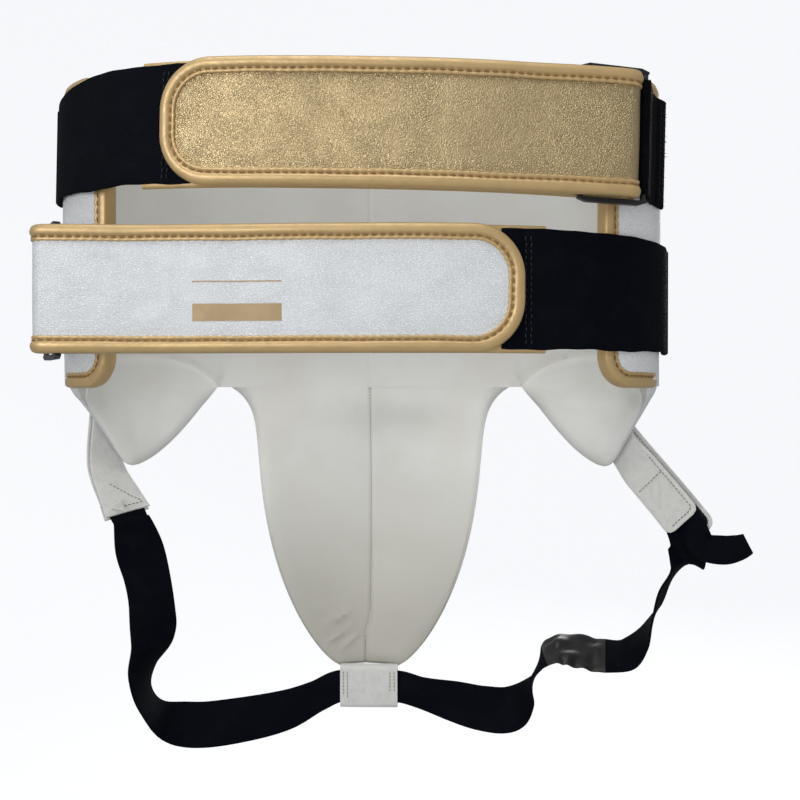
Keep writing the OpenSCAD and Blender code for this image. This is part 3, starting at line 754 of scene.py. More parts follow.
# Angles from the front, and the heights of the seam there
HIP_SEAM = ([34, 36, 40, 43.6, 50, 58, 100], [-85, -80.5, -74.4, -70.6, -67.5, -66.5, -66.5])


def hip_seam_z(l):
    """Height of the upper edge of the hip pad's lining panel."""
    a = np.abs(np.interp(l, BELT.l, BELT_A))
    return np.interp(a, *HIP_SEAM)


def hip_seam(l, z):
    """Crease where the hip pad's lining panel is sewn to the belt's lining."""
    a = np.abs(np.interp(l, BELT.l, BELT_A))
    slope = 1 + 1.6 * bell(a - 36, 4)
    return bell((z - 1 - hip_seam_z(l)) / slope, 1.3) * (a > 33) * (a < 99)


def belt_faces(l, z):
    """Distances of the lining's and the cover's faces."""
    pinch = 2.6 * belt_squeeze(l, z)
    swell = 0.45 * ripple(l, z, 60, 3)
    near = pinch + 0.7 * bell(l, 1.1) + 1.5 * hip_seam(l, z) + 0.3 * ripple(l, z, 45, 5)
    far = BELT_T - pinch + swell * (1 - belt_squeeze(l, z))
    return near, far


def belt_grid(step_l, rows, inset=0.0):
    half = BELT_HALF_L - inset
    ends = half - 20 * (1 - np.sin(np.linspace(0, math.pi / 2, 9)))
    seam = np.arange(0, 4.1, 0.6)
    side = np.unique(np.concatenate([seam, np.arange(4, half - 20, step_l), ends]))
    l = np.concatenate([-side[:0:-1], side])
    r = BELT_CORNER - inset
    drop = r - np.sqrt(np.clip(r**2 - np.clip(r - (half - np.abs(l)), 0, r) ** 2, 0, None))
    v = (1 - np.cos(np.linspace(0, math.pi, rows))) / 2
    v = mix(v, np.linspace(0, 1, rows), 0.7)
    low, high = BELT_BOTTOM + inset + drop, BELT_TOP - inset - drop
    z = low[:, None] + (high - low)[:, None] * v
    l = np.broadcast_to(l[:, None], z.shape)
    return l, z


def belt_layer(name, grid, near, far, shader, slot, node):
    l, z = grid
    piece = slab(name, BELT.at(l, z, near), BELT.at(l, z, far), shader, pack(l, z))
    return settle(piece, slot, node)


def belt():
    grid = belt_grid(3.0, 60)
    near, far = belt_faces(*grid)
    belt_layer("belt_lining_skin", grid, near, near + SKIN, LINING, "lining_leather", "belt_lining")
    outside = "belt_outer_shell"
    cover = belt_layer("belt_cover", grid, far - SKIN, far, WHITE_COVER, "white_leather", outside)
    grid = belt_grid(9.0, 22, inset=1.5)
    near, far = belt_faces(*grid)
    belt_layer("belt_padding", grid, near + SKIN + 0.2, far - SKIN - 0.2, FOAM, "foam", "belt_foam")


def binding_profile(half, both):
    """Closed outline of a rolled binding: (distance in from the edge, height from the middle).

    The groove of its stitching shows on its front, or on both sides.
    """
    front = [
        (7.5, -0.2), (7.55, 0.6), (7.0, 1.05), (6.2, 0.95), (5.6, 0.45), (GROOVE, 0.2), (4.8, 0.5),
        (4.2, 1.2), (3.2, 1.7), (1.9, 1.75), (0.6, 1.3), (-0.6, 0.55),
    ]
    back = [
        (-0.9, 0.45), (0.3, 0.95), (1.8, 1.2), (3.4, 1.15), (4.7, 0.8), (GROOVE, 0.45), (5.9, 0.7),
        (6.8, 0.8), (7.4, 0.5), (7.5, -0.2),
    ]
    if both:
        back = front[::-1]
    outline = [(e, half + h) for e, h in front] + [(-1.3, 0.0)] + [(e, -half - h) for e, h in back]
    return curve_through(outline, 2, closed=True)


def rim_line(corners, radius):
    """Rounded path through pattern corners, walked with the piece on its left: l, z and the way in."""
    p = np.asarray(corners, float)
    out = [p[0][None]]
    for before, corner, after in zip(p[:-2], p[1:-1], p[2:]):
        u, v = unit(corner - before), unit(after - corner)
        turn = np.linspace(0, math.pi / 2, 24)[:, None]
        out.append(corner - radius * u + radius * v + radius * (u * np.sin(turn) - v * np.cos(turn)))
    out.append(p[-1][None])
    line = resample(np.vstack(out), 1.1)
    way_in = left_of(line)
    for _ in range(2):
        way_in[1:-1] = unit(way_in[:-2] + 2 * way_in[1:-1] + way_in[2:])
    return line, way_in


def bound_edge(name, wrap, corners, radius, half, middle=0.0, both=False):
    """Rolled gold binding along an edge, and the runs of its stitches."""
    line, way_in = rim_line(corners, radius)
    s = lengths(line)
    profile = binding_profile(half, both)
    e, n = profile.T
    pull = np.cos(2 * math.pi * s / STITCH)[:, None]
    wander = 0.25 * ripple(s, 0 * s, 40, int(s[-1]))[:, None]
    pucker = 0.28 * pull * bell(e - GROOVE - 0.4, 1.6) * np.sign(n) * (e > 0)
    lip = 0.22 * pull * bell(e - 7.2, 1.0)
    e_here = e + lip + wander * bell(e - 5, 4)
    l = line[:, :1] + e_here * way_in[:, :1]
    z = line[:, 1:] + e_here * way_in[:, 1:]
    rings = wrap.at(l, z, middle + n + pucker)
    piece = sweep(name, rings, BINDING, pack(s[:, None], lengths(profile)), sharp=75)
    runs = []
    for side in (1, -1) if both else (1,):
        groove = line + way_in * (GROOVE + 0.1) + way_in * wander
        runs += stitch_row(wrap, groove[:, 0], groove[:, 1], middle + side * (half + 0.35), rise=0.5 * side)
    return piece, runs


def belt_binding():
    l, low, high = BELT_HALF_L, BELT_BOTTOM, BELT_TOP
    bound = belt_l(BINDING_A)
    corners = [(bound, low), (l, low), (l, high), (-l, high), (-l, low), (-bound, low)]
    name = "belt_edge_binding"
    piece, runs = bound_edge(name, BELT, corners, BELT_CORNER, BINDING_HALF, BELT_T / 2, both=True)
    settle(piece, "gold_binding", "belt_binding")
    settle(threads("belt_binding_stitches", runs, GOLD_R, GOLD_THREAD), "gold_binding")


# ---- Padded panels below the belt ----


def rim_distance(x, z, outline):
    """Distance of each pattern point from a polyline."""
    a, b = outline[:-1], outline[1:]
    best = np.full(x.shape, 1e9)
    for p, q in zip(a, b):
        d = q - p
        t = np.clip(((x - p[0]) * d[0] + (z - p[1]) * d[1]) / (d @ d + 1e-9), 0, 1)
        best = np.minimum(best, np.hypot(x - p[0] - t * d[0], z - p[1] - t * d[1]))
    return best


def round_rim(e, radius):
    """Share of the thickness at distance e from a turned edge, round like a cushion."""
    t = np.clip(e / radius, 0, 1)
    return np.sqrt(1 - (1 - t) ** 2)


def depth_rows(even, first, close):
    """Depth ratios down a pad, evenly spaced and then closer together round its tip."""
    tip = 1 - 0.1 * np.cos(np.linspace(first, 1, close) * math.pi / 2)
    return np.concatenate([np.linspace(0, 0.9, even), tip])[:, None]


def pad_outline(x, z, step):
    """Line down one side of a pad's grid and up the other."""
    return resample(np.vstack([pack(x[:, 0], z[:, 0]), pack(x[::-1, -1], z[::-1, -1])]), step)


def hip_spread(h, full, power):
    """Degrees from the tip to the pad's edge at depth ratio h."""
    return (full - HIP_ROUND) * (1 - h) ** power + HIP_ROUND * np.sqrt(1 - h**4)


def hip_pad(side, name):
    h = depth_rows(34, 0.15, 10)
    a0 = HIP_TIP - hip_spread(h, HIP_TO_FRONT, 0.78)
    a1 = HIP_TIP + hip_spread(h, HIP_TO_BACK, 1.9)
    u = np.linspace(-1, 1, 46)
    u = np.sin(u * math.pi / 2) * 0.35 + u * 0.65
    l = belt_l(mix(a0, a1, (u + 1) / 2)) * side
    z = (BELT_BOTTOM - 0.1 - HIP_DROP * h) * np.ones_like(u)
    e = rim_distance(l, z, pad_outline(l, z, 1.5))
    full = round_rim(e, 9.0)
    below_belt = smooth(h / 0.3)
    swell = 1.6 * smooth(e / 26) * below_belt
    near = BELT_T / 2 * (1 - full) - swell + 0.35 * ripple(l, z, 24, 7 + side) * full
    far = BELT_T - BELT_T / 2 * (1 - full) + swell * 0.7
    belt_near, _ = belt_faces(l, np.maximum(z, BELT_BOTTOM))
    near = mix(belt_near - SKIN - 0.05, near, below_belt)
    far = np.maximum(far, near + 0.6)
    skin = np.minimum(SKIN, 0.3 * (far - near))

    # The lining goes on up over the belt's, to its seam
    l_top = np.broadcast_to(l[:1], (7, l.shape[1]))
    z_top = mix(z[:1], hip_seam_z(l[:1]), np.linspace(1, 0, 8)[:-1, None])
    near_top = belt_faces(l_top, z_top)[0] - SKIN - 0.05
    lining = ((l_top, l), (z_top, z), (near_top, near), (near_top + SKIN, near + skin))
    for part, node, (x, y, a, b), shader, slot in (
        ("_hip_pad_lining", "_hip_lining", [np.vstack(v) for v in lining], LINING, "lining_leather"),
        ("_hip_padding", "_hip_foam", (l, z, near + skin + 0.1, far - skin - 0.1), FOAM, "foam"),
        ("_hip_pad", "_hip_cover", (l, z, far - skin, far), WHITE_COVER, "white_leather"),
    ):
        piece = slab(name + part, BELT.at(x, y, a), BELT.at(x, y, b), shader, pack(x, y))
        settle(piece, slot, name + node)


def cup_half_w(h):
    return CUP_TIP_W + (CUP_BODY_W - CUP_TIP_W) * (1 - h**2.6) ** 0.75 + 18 * np.exp(-h / 0.06)


def cup_inner_y(u, h):
    edge = 79 - 8 * h
    middle = WAIST_FRONT + CUP_BULGE * np.sin(math.pi * h) - 10 * h**2
    return edge + (middle - edge) * (1 - u**2)


def cup_thickness(u, h):
    return 10 + (2 + 14 * np.sin(math.pi * h**0.9)) * (1 - u**4)


def ridge(x, z, a, b, width, height):
    """A rounded fold along the line from a to b, dying away at both ends."""
    a, b = np.array(a, float), np.array(b, float)
    d = b - a
    t = ((x - a[0]) * d[0] + (z - a[1]) * d[1]) / (d @ d)
    across = ((x - a[0]) * d[1] - (z - a[1]) * d[0]) / math.sqrt(d @ d)
    return height * bell(across, width) * np.sin(math.pi * np.clip(t, 0, 1)) ** 0.7


def seam_shift(u, h):
    """How far the cup's lining is pulled aside: its seam jogs near the bottom."""
    return SEAM_JOG * smooth((h - SEAM_JOG_H) / 0.05) * (1 - np.abs(u)) ** 2


def cup_grid(side, u, h, half):
    u = side * np.broadcast_to(u, (len(h), len(u)))
    return u, u * half + seam_shift(u, h), np.broadcast_to(CUP_TOP + (CUP_BOTTOM - CUP_TOP) * h, u.shape)


def cup_faces(u, x, z, h, half, edge):
    """Depths of the cup's lining and cover. At the top both run on into the belt's."""
    e = rim_distance(x, z, edge)
    full = round_rim(e, 10.0)
    h = np.broadcast_to(h, u.shape)
    free = smooth(h / 0.16)
    a = np.degrees(np.arccos(np.clip(np.abs(x) / WAIST_HALF_W, 0, 1) ** (WAIST_POWER / 2)))
    belt_y = waist(90 - a, np.zeros_like(a))[..., 1]
    lift, _ = belt_faces(belt_l(90 - a) * np.sign(x), np.full_like(x, BELT_BOTTOM + 0.5))
    thick = mix(BELT_T, cup_thickness(u, h), free)
    middle = mix(belt_y + lift, cup_inner_y(u, h), free) + thick / 2
    away = 1 - bell(x - seam_shift(u, h), 7)
    near = middle - thick / 2 * full
    near = near - 0.8 * smooth(e / 30) * away * smooth(h / 0.2)
    near = near + 0.9 * bell(np.abs(u) * half, 1.3)
    near = near + 0.7 * ripple(x, z, 55, 21) * full * free
    near = near + 0.8 * bell(x + 2, 16) * bell(z + 205, 9)
    for pleat in PLEATS:
        near = near - ridge(x, z, *pleat)
    far = middle + thick / 2 * full
    far = far + 0.4 * ripple(x, z, 60, 23) * full * free
    return near, np.maximum(far, near + 0.6)


def cup():
    h = depth_rows(62, 0.1, 14)
    half = cup_half_w(h)
    u = np.concatenate([[0, 0.006, 0.012, 0.02, 0.03, 0.045], np.linspace(0.07, 1, 34)])
    left, right = (cup_grid(side, u, h, half) for side in (-1, 1))
    across, x, z = (np.concatenate([a[:, :0:-1], b], 1) for a, b in zip(left, right))
    edge = pad_outline(x, z, 2.0)

    def layer(name, x, z, near, far, shader, slot, node, scale=1.0):
        near, far, pattern = pack(x * scale, near, z), pack(x * scale, far, z), pack(x, z)
        return settle(slab(name, near, far, shader, pattern), slot, node)

    for grid, name in ((left, "left"), (right, "right")):
        near, _ = cup_faces(*grid, h, half, edge)
        panel = "cup_lining_panel_" + name
        layer(panel, *grid[1:], near, near + SKIN, LINING, "lining_leather", "cup_lining_" + name)
    near, far = cup_faces(across, x, z, h, half, edge)
    cover = layer("cup_pad", x, z, far - SKIN, far, WHITE_COVER, "white_leather", "cup_cover")

    inside, outside = near + SKIN, far - SKIN
    hard = cup_inner_y(across, h) + 0.45 * cup_thickness(across, h)
    hard = np.clip(hard, inside + 0.3, outside - 0.6)
    behind = np.minimum(hard + HARD_T + 0.2, outside - 0.35)
    for name, a, b in (
        ("inner", inside + 0.9, np.maximum(hard - 0.2, inside + 1.0)),
        ("outer", behind, np.maximum(outside - 0.4, behind + 0.1)),
    ):
        # The padding is a little narrower than the cup, and ends short of its bottom
        grid = (v[:-12] for v in (x, z, a, b))
        layer("cup_padding_" + name, *grid, FOAM, "foam", "cup_" + name + "_foam", scale=0.97)

    seam = len(u) - 1
    line = pack(x[:, seam], near[:, seam] - 0.15, z[:, seam])
    for part, rows in (("upper", line[h[:, 0] < 0.83]), ("lower", line[h[:, 0] > 0.9])):
        rows = resample(rows, 1.0)
        runs = stitch_runs(rows, np.broadcast_to([0.0, -1, 0], rows.shape), pitch=2.3, share=0.55, rise=0.1)
        settle(threads("cup_seam_stitches_" + part, runs, 0.24, GREY_THREAD), "lining_leather")


# ---- Straps ----


def tail_edge(l, z, end, sides_only=False):
    """Distance in from a strap's edge. A tail has a rounded end."""
    if sides_only:
        return STRAP_H / 2 - np.abs(z)
    return inside_corner(l - end, np.abs(z) - STRAP_H / 2, TAIL_CORNER)


def panel_height(e, l, z):
    """Height of the leather above the strap's middle: it fills out between its bindings."""
    tuck = -0.45 * bell(e - 8.2, 0.9)
    fill = 0.9 * (1 - np.exp(-np.maximum(e - 7.5, 0) / 9))
    return STRAP_T / 2 + tuck + fill + 0.42 * ripple(l, z, 38, 31) * smooth((e - 8) / 9)


def strap_panel(name, strap, l0, l1, tail, shader):
    """The leather of a strap from l0 to l1, inside its bindings, with more rows round the fold."""
    inset = 3.0
    n = int(abs(l1 - l0) / 2.2) + 1
    l = np.linspace(l0, l1, n)
    half = np.full(n, STRAP_H / 2 - inset)
    if tail:
        r = TAIL_CORNER - inset
        end = l1 - inset
        tip = end - r * np.cos(np.linspace(0.05, 1, 22) * math.pi / 2)
        l = np.concatenate([np.linspace(l0, end - r, n), tip])
        half = STRAP_H / 2 - inset - r + np.sqrt(np.clip(r**2 - np.clip(l - end + r, 0, r) ** 2, 0, None))
    fold = np.linspace(-10, 10, 25)
    fold = fold[(fold > min(l0, l1)) & (fold < max(l0, l1))]
    rows = np.unique(np.concatenate([l, fold]).round(6))
    half = np.interp(rows, l[np.argsort(l)], half[np.argsort(l)])
    v = np.linspace(-1, 1, 31)
    v = v * 0.75 + 0.25 * np.sin(v * math.pi / 2)
    z = half[:, None] * v
    l = np.broadcast_to(rows[:, None], z.shape)
    e = tail_edge(l, z, l1 if tail else 1e6, sides_only=not tail)
    front = mix(STRAP_T / 2 + 0.3, panel_height(e, l, z), smooth(np.abs(l) / 12))
    return slab(name, strap.at(l, z, front), strap.at(l, z, -STRAP_T / 2), shader, pack(l, z))


def patch(name, strap, l0, l1, shader, corner=0.0):
    """Hook or loop tape on the fastening face, and the runs of its edge stitches."""
    rows = np.linspace(l0, l1, int(abs(l1 - l0) / 3) + 2)
    half = STRAP_H / 2 - 7.2 - corner * np.maximum(0, (np.abs(rows) - abs(l1) + 12) / 12) ** 2
    z = half[:, None] * np.linspace(-1, 1, 9)
    l = np.broadcast_to(rows[:, None], z.shape)
    base = -STRAP_T / 2 - 0.05
    face = base - PATCH_T + 0.1
    piece = slab(name, strap.at(l, z, base), strap.at(l, z, face), shader, pack(l, z))
    runs = []
    for edge in (-1, 1):
        runs += stitch_row(strap, rows, edge * (half - 2), face, pitch=3.2, rise=-0.3)
    return piece, runs


def closure_strap(name, strap, shader, leather, prints):
    """A strap in two parts: what stays on the belt, and the tail from the ring to its free end."""
    start, end = strap.start, strap.end
    half = STRAP_H / 2
    blend_from = strap.plan(strap.centre + FOLD_R * strap.along)
    blend_to = strap.plan(strap.centre - 2 * strap.along + 6 * strap.out)

    def front(piece, slot, *nodes):
        if nodes:
            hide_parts(*nodes)
        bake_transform(piece)

    settle(strap_panel(name + "_strap_under", strap, start, 0, False, shader), leather, name + "_strap")
    front(strap_panel(name + "_strap_end", strap, 0, end, True, shader), leather, name + "_tail")

    under = name + "_under_binding"
    low, low_runs = bound_edge(under, strap, [(start, -half), (0, -half)], 0, STRAP_T / 2)
    high, high_runs = bound_edge(under + "_top", strap, [(0, half), (start, half)], 0, STRAP_T / 2)
    settle(join(under, [low, high]), "gold_binding", name + "_strap_binding")
    settle(threads(name + "_under_stitches", low_runs + high_runs, GOLD_R, GOLD_THREAD), "gold_binding")

    corners = [(0, -half), (end, -half), (end, half), (0, half)]
    edge, runs = bound_edge(name + "_end_binding", strap, corners, TAIL_CORNER, STRAP_T / 2)
    front(edge, "gold_binding", name + "_tail_binding")
    front(threads(name + "_end_stitches", runs, GOLD_R, GOLD_THREAD), "gold_binding")

    near = LEAD_IN + 10
    loop, loop_runs = patch(name + "_loop_tape", strap, start + 24, -near, LOOPS)
    settle(loop, "hook_and_loop", name + "_loop_patch")
    hook, hook_runs = patch(name + "_hook_tape", strap, near, end - 11, HOOKS, corner=9)
    front(hook, "hook_and_loop", name + "_hook_patch")
    settle(threads(name + "_loop_stitches", loop_runs, 0.25, BLACK_THREAD), "hook_and_loop")
    front(threads(name + "_hook_stitches", hook_runs, 0.25, BLACK_THREAD), "hook_and_loop")

    for part, z0, z1 in prints:
        z = np.linspace(z0, z1, 3 if z1 - z0 < 2 else 9)
        l, z = np.broadcast_arrays(np.linspace(*PRINT_L, 30)[:, None], z)
        height = panel_height(tail_edge(l, z, end), l, z)
        above, below = strap.at(l, z, height + 0.12), strap.at(l, z, height - 0.2)
        front(slab(name + part, above, below, FOIL, pack(l, z)), "gold_leather")


# Plain gold marks on the lower strap: their lengthwise span, and each one's lower and upper edge
PRINT_L = (87.0, 133.5)
PRINTS = [("_print_rule", 3.0, 3.7), ("_print_bar", -17.0, -8.0)]


# ---- Elastics, keepers and rings ----


def flat_band(name, wrap, rows, z0, z1, d0, d1, shader, columns):
    """A band with rounded edges. z0, z1, d0 and d1 are numbers or one value for each row."""
    n = len(rows)
    z0, z1, d0, d1 = (np.broadcast_to(np.asarray(v, float), n)[:, None] for v in (z0, z1, d0, d1))
    across = np.linspace(0, 1, columns)
    half, mid = (d1 - d0) / 2, (d0 + d1) / 2
    turn = np.linspace(0, math.pi, 6)[1:-1]
    z = [
        mix(z0 + half, z1 - half, across), z1 - half + half * np.sin(turn),
        mix(z1 - half, z0 + half, across), z0 + half - half * np.sin(turn),
    ]
    d = [
        np.broadcast_to(d1, (n, columns)), mid + half * np.cos(turn),
        np.broadcast_to(d0, (n, columns)), mid - half * np.cos(turn),
    ]
    z, d = np.concatenate(z, 1), np.concatenate(d, 1)
    return sweep(name, wrap.at(rows[:, None], z, d), shader, pack(rows[:, None], z))


def elastic(name, sewn, over, hem, gather, place):
    """An elastic from its hem on the belt to its lap over the strap, at angles from the front."""
    low, high = BELT_T + 2.2, STRAP_OFF + STRAP_T + 0.6
    a = np.linspace(hem - 1, over + 1, 400)
    line = waist(a - 90, low + (high - low) * smooth((a - 214) / (sewn - 2 - 214)))
    l = lengths(line)
    l -= l[4]
    wrap = Wrap(l, line, -left_of(line), place)
    end = np.interp(over, a, l)
    spans = ((0, 16, 17), (16, end - 14, 40), (end - 14, end, 15))
    rows = np.unique(np.concatenate([np.linspace(*span) for span in spans]))
    hems = 1.1 * (1 - smooth((rows - 11) / 2.5)) + 0.7 * smooth((rows - end + 11) / 2.5)
    dip = -0.5 * bell(rows - 5, 0.9) - 0.4 * bell(rows - end + 12.5, 0.9)
    wave = 0.35 * np.sin(rows / 9.0) + 0.2 * np.sin(rows / 3.1)
    half = STRAP_H / 2 - 0.7
    top = half + 0.6 * wave - gather * (1 - smooth(rows / 70))
    thick = ELASTIC_T + hems + dip
    piece = flat_band(name + "_stretch_band", wrap, rows, -half - wave, top, 0.0, thick, ELASTIC, 21)
    settle(piece, "black_elastic", name + "_elastic")
    runs = []
    for at, lift in ((5.0, 1.2), (end - 12.5, 0.9), (end - 15.5, 0.35)):
        l, z = straight((at, -half + 2), (at, half - 2 - gather * (1 - smooth(at / 70))))
        runs += stitch_row(wrap, l + 0.25 * np.sin(z), z, ELASTIC_T + lift - 0.2, pitch=3.4, rise=0.4)
    settle(threads(name + "_elastic_stitches", runs, 0.3, BLACK_THREAD), "black_elastic")


def keeper(name, strap, bar_back, bar_in, turn, a0, a1):
    """Webbing round the ring's keeper bar, with both ends sewn to the belt between angles a0 and a1."""
    bar = strap.centre - bar_back * strap.along - bar_in * strap.out
    bar = bar + RING_W * np.array([math.cos(turn), math.sin(turn)])
    thick, half = 1.5, 30.0
    wrap_r = RING_BAR + 0.25 + thick / 2
    base = BELT_T + 0.4 + thick / 2
    foot = waist(a0 - 90, base)
    toward = unit(foot - bar)
    away = np.array([toward[1], -toward[0]])
    if away @ foot < 0:
        away = -away
    round_bar = np.radians(np.linspace(-80, 80, 14))[:, None]
    arc = bar - wrap_r * (np.cos(round_bar) * toward + np.sin(round_bar) * away)
    inner = waist(np.linspace(a1, a0, 12) - 90, base)
    outer = waist(np.linspace(a0, a0 + 0.72 * (a1 - a0), 10) - 90, base + thick + 0.15)
    if np.linalg.norm(arc[0] - inner[-1]) > np.linalg.norm(arc[-1] - inner[-1]):
        arc = arc[::-1]
    line = resample(curve_through(np.vstack([inner, arc, outer]), 3), 1.0)
    l = lengths(line)
    wrap = Wrap(l, line, left_of(line), strap.place)
    wave = 0.3 * np.sin(l / 4.0)
    edges = (-half - wave, half + wave, -thick / 2, thick / 2)
    piece = flat_band(name + "_ring_webbing", wrap, l, *edges, WEBBING, 17)
    settle(piece, "black_webbing", name + "_ring_keeper")

    end, back = (wrap.at(at, np.linspace(-half, half, 60), 0.0) for at in (l[-1], l[-1] - 1))
    runs = []
    for p, forward in zip(end, unit(end - back)):
        for _ in range(3):
            stray = random.normal(0, 0.5, 3)
            length = random.uniform(0.6, 2.2)
            root = p + [0, 0, random.uniform(-0.5, 0.5)] - forward * 0.6
            bend = root + (forward + 0.4 * stray) * length * 0.5
            runs.append([root, bend, root + (forward + stray) * length])
    settle(threads(name + "_webbing_fray", runs, 0.16, BLACK_THREAD), "black_webbing")

    runs = []
    for at in (l[-1] - 4.0, l[-1] - 8.0):
        above, below = (np.linalg.norm(wrap.at(at, 0, d)) for d in (1.0, -1.0))
        out = 1 if above > below else -1
        l_row, z_row = straight((at, -half + 2), (at, half - 2))
        runs += stitch_row(wrap, l_row, z_row, out * (thick / 2 + 0.05), pitch=3.0, rise=0.35 * out)
    settle(threads(name + "_webbing_stitches", runs, 0.28, BLACK_THREAD), "black_webbing")


# ---- Leg strap, its tabs and its loop ----


def frame_along(rows):
    """Each station's centre, width direction and up."""
    centre, side = rows[:, :3], rows[:, 3:6]
    t = unit(np.gradient(centre, axis=0))
    side = unit(side - (side * t).sum(-1, keepdims=True) * t)
    return centre, side, np.cross(t, side)


def ribbon(name, rows, thick, shader, cup=0.0, columns=9, wrinkle=0.0, crumpled=None):
    """A flat strip with rounded edges through stations of centre, width direction and width."""
    centre, side, up = frame_along(rows)
    width = rows[:, 6:]
    s = lengths(centre)[:, None]
    across = np.linspace(-1, 1, columns)
    half = thick / 2
    turn = np.linspace(0, math.pi, 5)[1:-1]
    flat = 1 - thick / width
    lift = np.zeros((len(s), columns))
    if crumpled is not None:
        share = smooth((s - crumpled[0]) / 8) * smooth((crumpled[1] - s) / 8)
        lift += share * 1.6 * ripple(s, across * 15, 13, 41)
    lift = cup * (1 - across**2) + (lift + wrinkle * ripple(s, across * 12, 30, 43))
    end = flat + (1 - flat) * np.sin(turn)
    w = np.concatenate([across * flat, end, -(across * flat), -flat - (1 - flat) * np.sin(turn)], 1)
    round_edge = half * np.cos(turn)
    h = [lift + half, lift[:, -1:] + round_edge, lift[:, ::-1] - half, lift[:, :1] - round_edge]
    rings = (
        centre[:, None]
        + side[:, None] * (w * width / 2)[..., None]
        + up[:, None] * np.concatenate(h, 1)[..., None]
    )
    return sweep(name, rings, shader, pack(s, w * width / 2))


def stations(rows, n):
    flat = np.array([[*c, *d, w] for c, d, w in rows], float)
    return curve_through(flat, n)


RIGHT_ROOT = np.array([163.0, 54, -118])
RIGHT_DIR = unit([39.5, -31, -53])
RIGHT_SIDE = unit(np.array([0.6, -0.45, 0.66]) - np.dot([0.6, -0.45, 0.66], RIGHT_DIR) * RIGHT_DIR)
RIGHT_UP = np.cross(RIGHT_DIR, RIGHT_SIDE)
TAB_T = 1.5
TAB_PATCH_T = 1.0
TAB_THREAD_R = 0.27
LEG_T = 1.6
LEG_W = 30.0
GATHERED_W = 22  # width of the leg strap where its loop gathers it
TAB_W = 27
TAB_LIFT = LEG_T + TAB_PATCH_T + TAB_T / 2 + 0.8
STRAP_FOLD_R = 1.3


def in_tab(l, w, h):
    return RIGHT_ROOT + l * RIGHT_DIR + w * RIGHT_SIDE + h * RIGHT_UP


LEFT_END = np.array([-152.0, 26, -167])
LEFT_DIR = unit([19.5, -16, -29])


def left_way(l, w):
    return LEFT_END + l * LEFT_DIR, (0.85, 0.5, 0.05), w


LEFT_TAB = [
    ((-171.5, 45, -104), (0.5, 0.85, 0.05), 25),
    ((-172, 43.5, -136), (0.6, 0.8, 0.05), 25),
    left_way(-12, 27),
    left_way(-8, 28),
    left_way(0, 30),
]
LOOP_Y = (LOOP_LO[1] + LOOP_HI[1]) / 2
LOOP_Z = (LOOP_LO[2] + LOOP_HI[2]) / 2

LEG_LEFT = [
    left_way(-8, LEG_W - 8),
    left_way(0, LEG_W - 7),
    left_way(4, LEG_W - 7),
    left_way(8, LEG_W - 6),
    ((-145, 28, -190), (0.95, 0.3, 0.1), LEG_W),
    ((-141, 32, -210), (1, 0.1, 0), LEG_W),
    ((-139.5, 38, -232), (1, 0.1, 0), LEG_W),
    ((-141, 44, -254), (0.75, 0.65, 0), LEG_W),
    ((-149, 50, -274), (0.35, 0.95, 0), LEG_W),
    ((-149.5, 55, -294), (0, 1, 0.25), LEG_W),
    ((-139, 59, -309), (-0.2, 0.8, 0.6), LEG_W),
    ((-118, 63, -315), (0, 0.4, 1), LEG_W),
    ((-90, 66, -313), (0, 0.15, 1), LEG_W),
    ((-58, 70, -307), (0, 0, 1), LEG_W - 2),
    ((-36, 73, -298), (0, 0, 1), GATHERED_W),
    ((-20, LOOP_Y, LOOP_Z), (0, 0, 1), GATHERED_W),
]
LEG_RIGHT = [
    ((0, LOOP_Y, LOOP_Z), (0, 0, 1), GATHERED_W),
    ((20, LOOP_Y, LOOP_Z), (0, 0, 1), GATHERED_W),
    ((36, 73, -295), (0, 0, 1), GATHERED_W),
    ((58, 71, -300), (0, 0, 1), LEG_W - 2),
    ((78, 69, -304), (0, 0.15, 1), LEG_W),
    ((95, 65, -303), (-0.3, 0.5, 0.8), LEG_W),
    ((107, 61, -292), (-0.2, 0.9, 0.2), LEG_W),
    ((112.5, 58, -277), (0.35, 0.9, 0), LEG_W),
    ((118, 56, -264), (0, 1, 0.2), LEG_W),
    ((128, 55, -259), (0, 0.9, 0.4), LEG_W),
    ((141.5, 54, -261), (0, 0.85, 0.5), LEG_W),
    ((157, 52, -263), (0, 0.85, 0.5), LEG_W),
    ((171, 49, -261), (-0.2, 0.9, 0.3), LEG_W),
    ((181, 44, -249), (0, 1, 0.1), LEG_W),
    ((187, 38, -232), (0.35, 0.9, 0.1), LEG_W),
    ((192, 33, -212), (0.5, 0.7, 0.3), LEG_W - 2),
    (in_tab(89, -15, -STRAP_FOLD_R), RIGHT_SIDE, LEG_W - 5),
    (in_tab(83, -10, -STRAP_FOLD_R), RIGHT_SIDE, LEG_W - 8),
    (in_tab(74, -6, -STRAP_FOLD_R), RIGHT_SIDE, LEG_W - 9),
    (in_tab(56, -2, -STRAP_FOLD_R), RIGHT_SIDE, LEG_W - 12),
    (in_tab(46, 0, -STRAP_FOLD_R), RIGHT_SIDE, LEG_W - 14),
]
LEG_FOLD = [
    (in_tab(44 - STRAP_FOLD_R * math.cos(a), 0, -STRAP_FOLD_R * math.sin(a)), RIGHT_SIDE, LEG_W - 14)
    for a in np.radians([54, 18, -18, -54])
]
LEG_FREE = [
    (in_tab(46, 0, STRAP_FOLD_R), RIGHT_SIDE, LEG_W - 14),
    (in_tab(58, 1, STRAP_FOLD_R - 0.2), RIGHT_SIDE, LEG_W - 14),
    (in_tab(70, 2, STRAP_FOLD_R - 0.4), RIGHT_SIDE, LEG_W - 14),
    (in_tab(78, 2, STRAP_FOLD_R - 0.8), RIGHT_SIDE, LEG_W - 14),
    ((211, 18, -185), (0.1, 0.2, 0.9), 17),
    ((222, 14, -187), (0, 0.2, 0.9), 18),
    ((230, 10, -185), (-0.2, 0.2, 0.9), 16),
    ((236, 8, -182), (-0.5, 0.2, 0.8), 13),
]


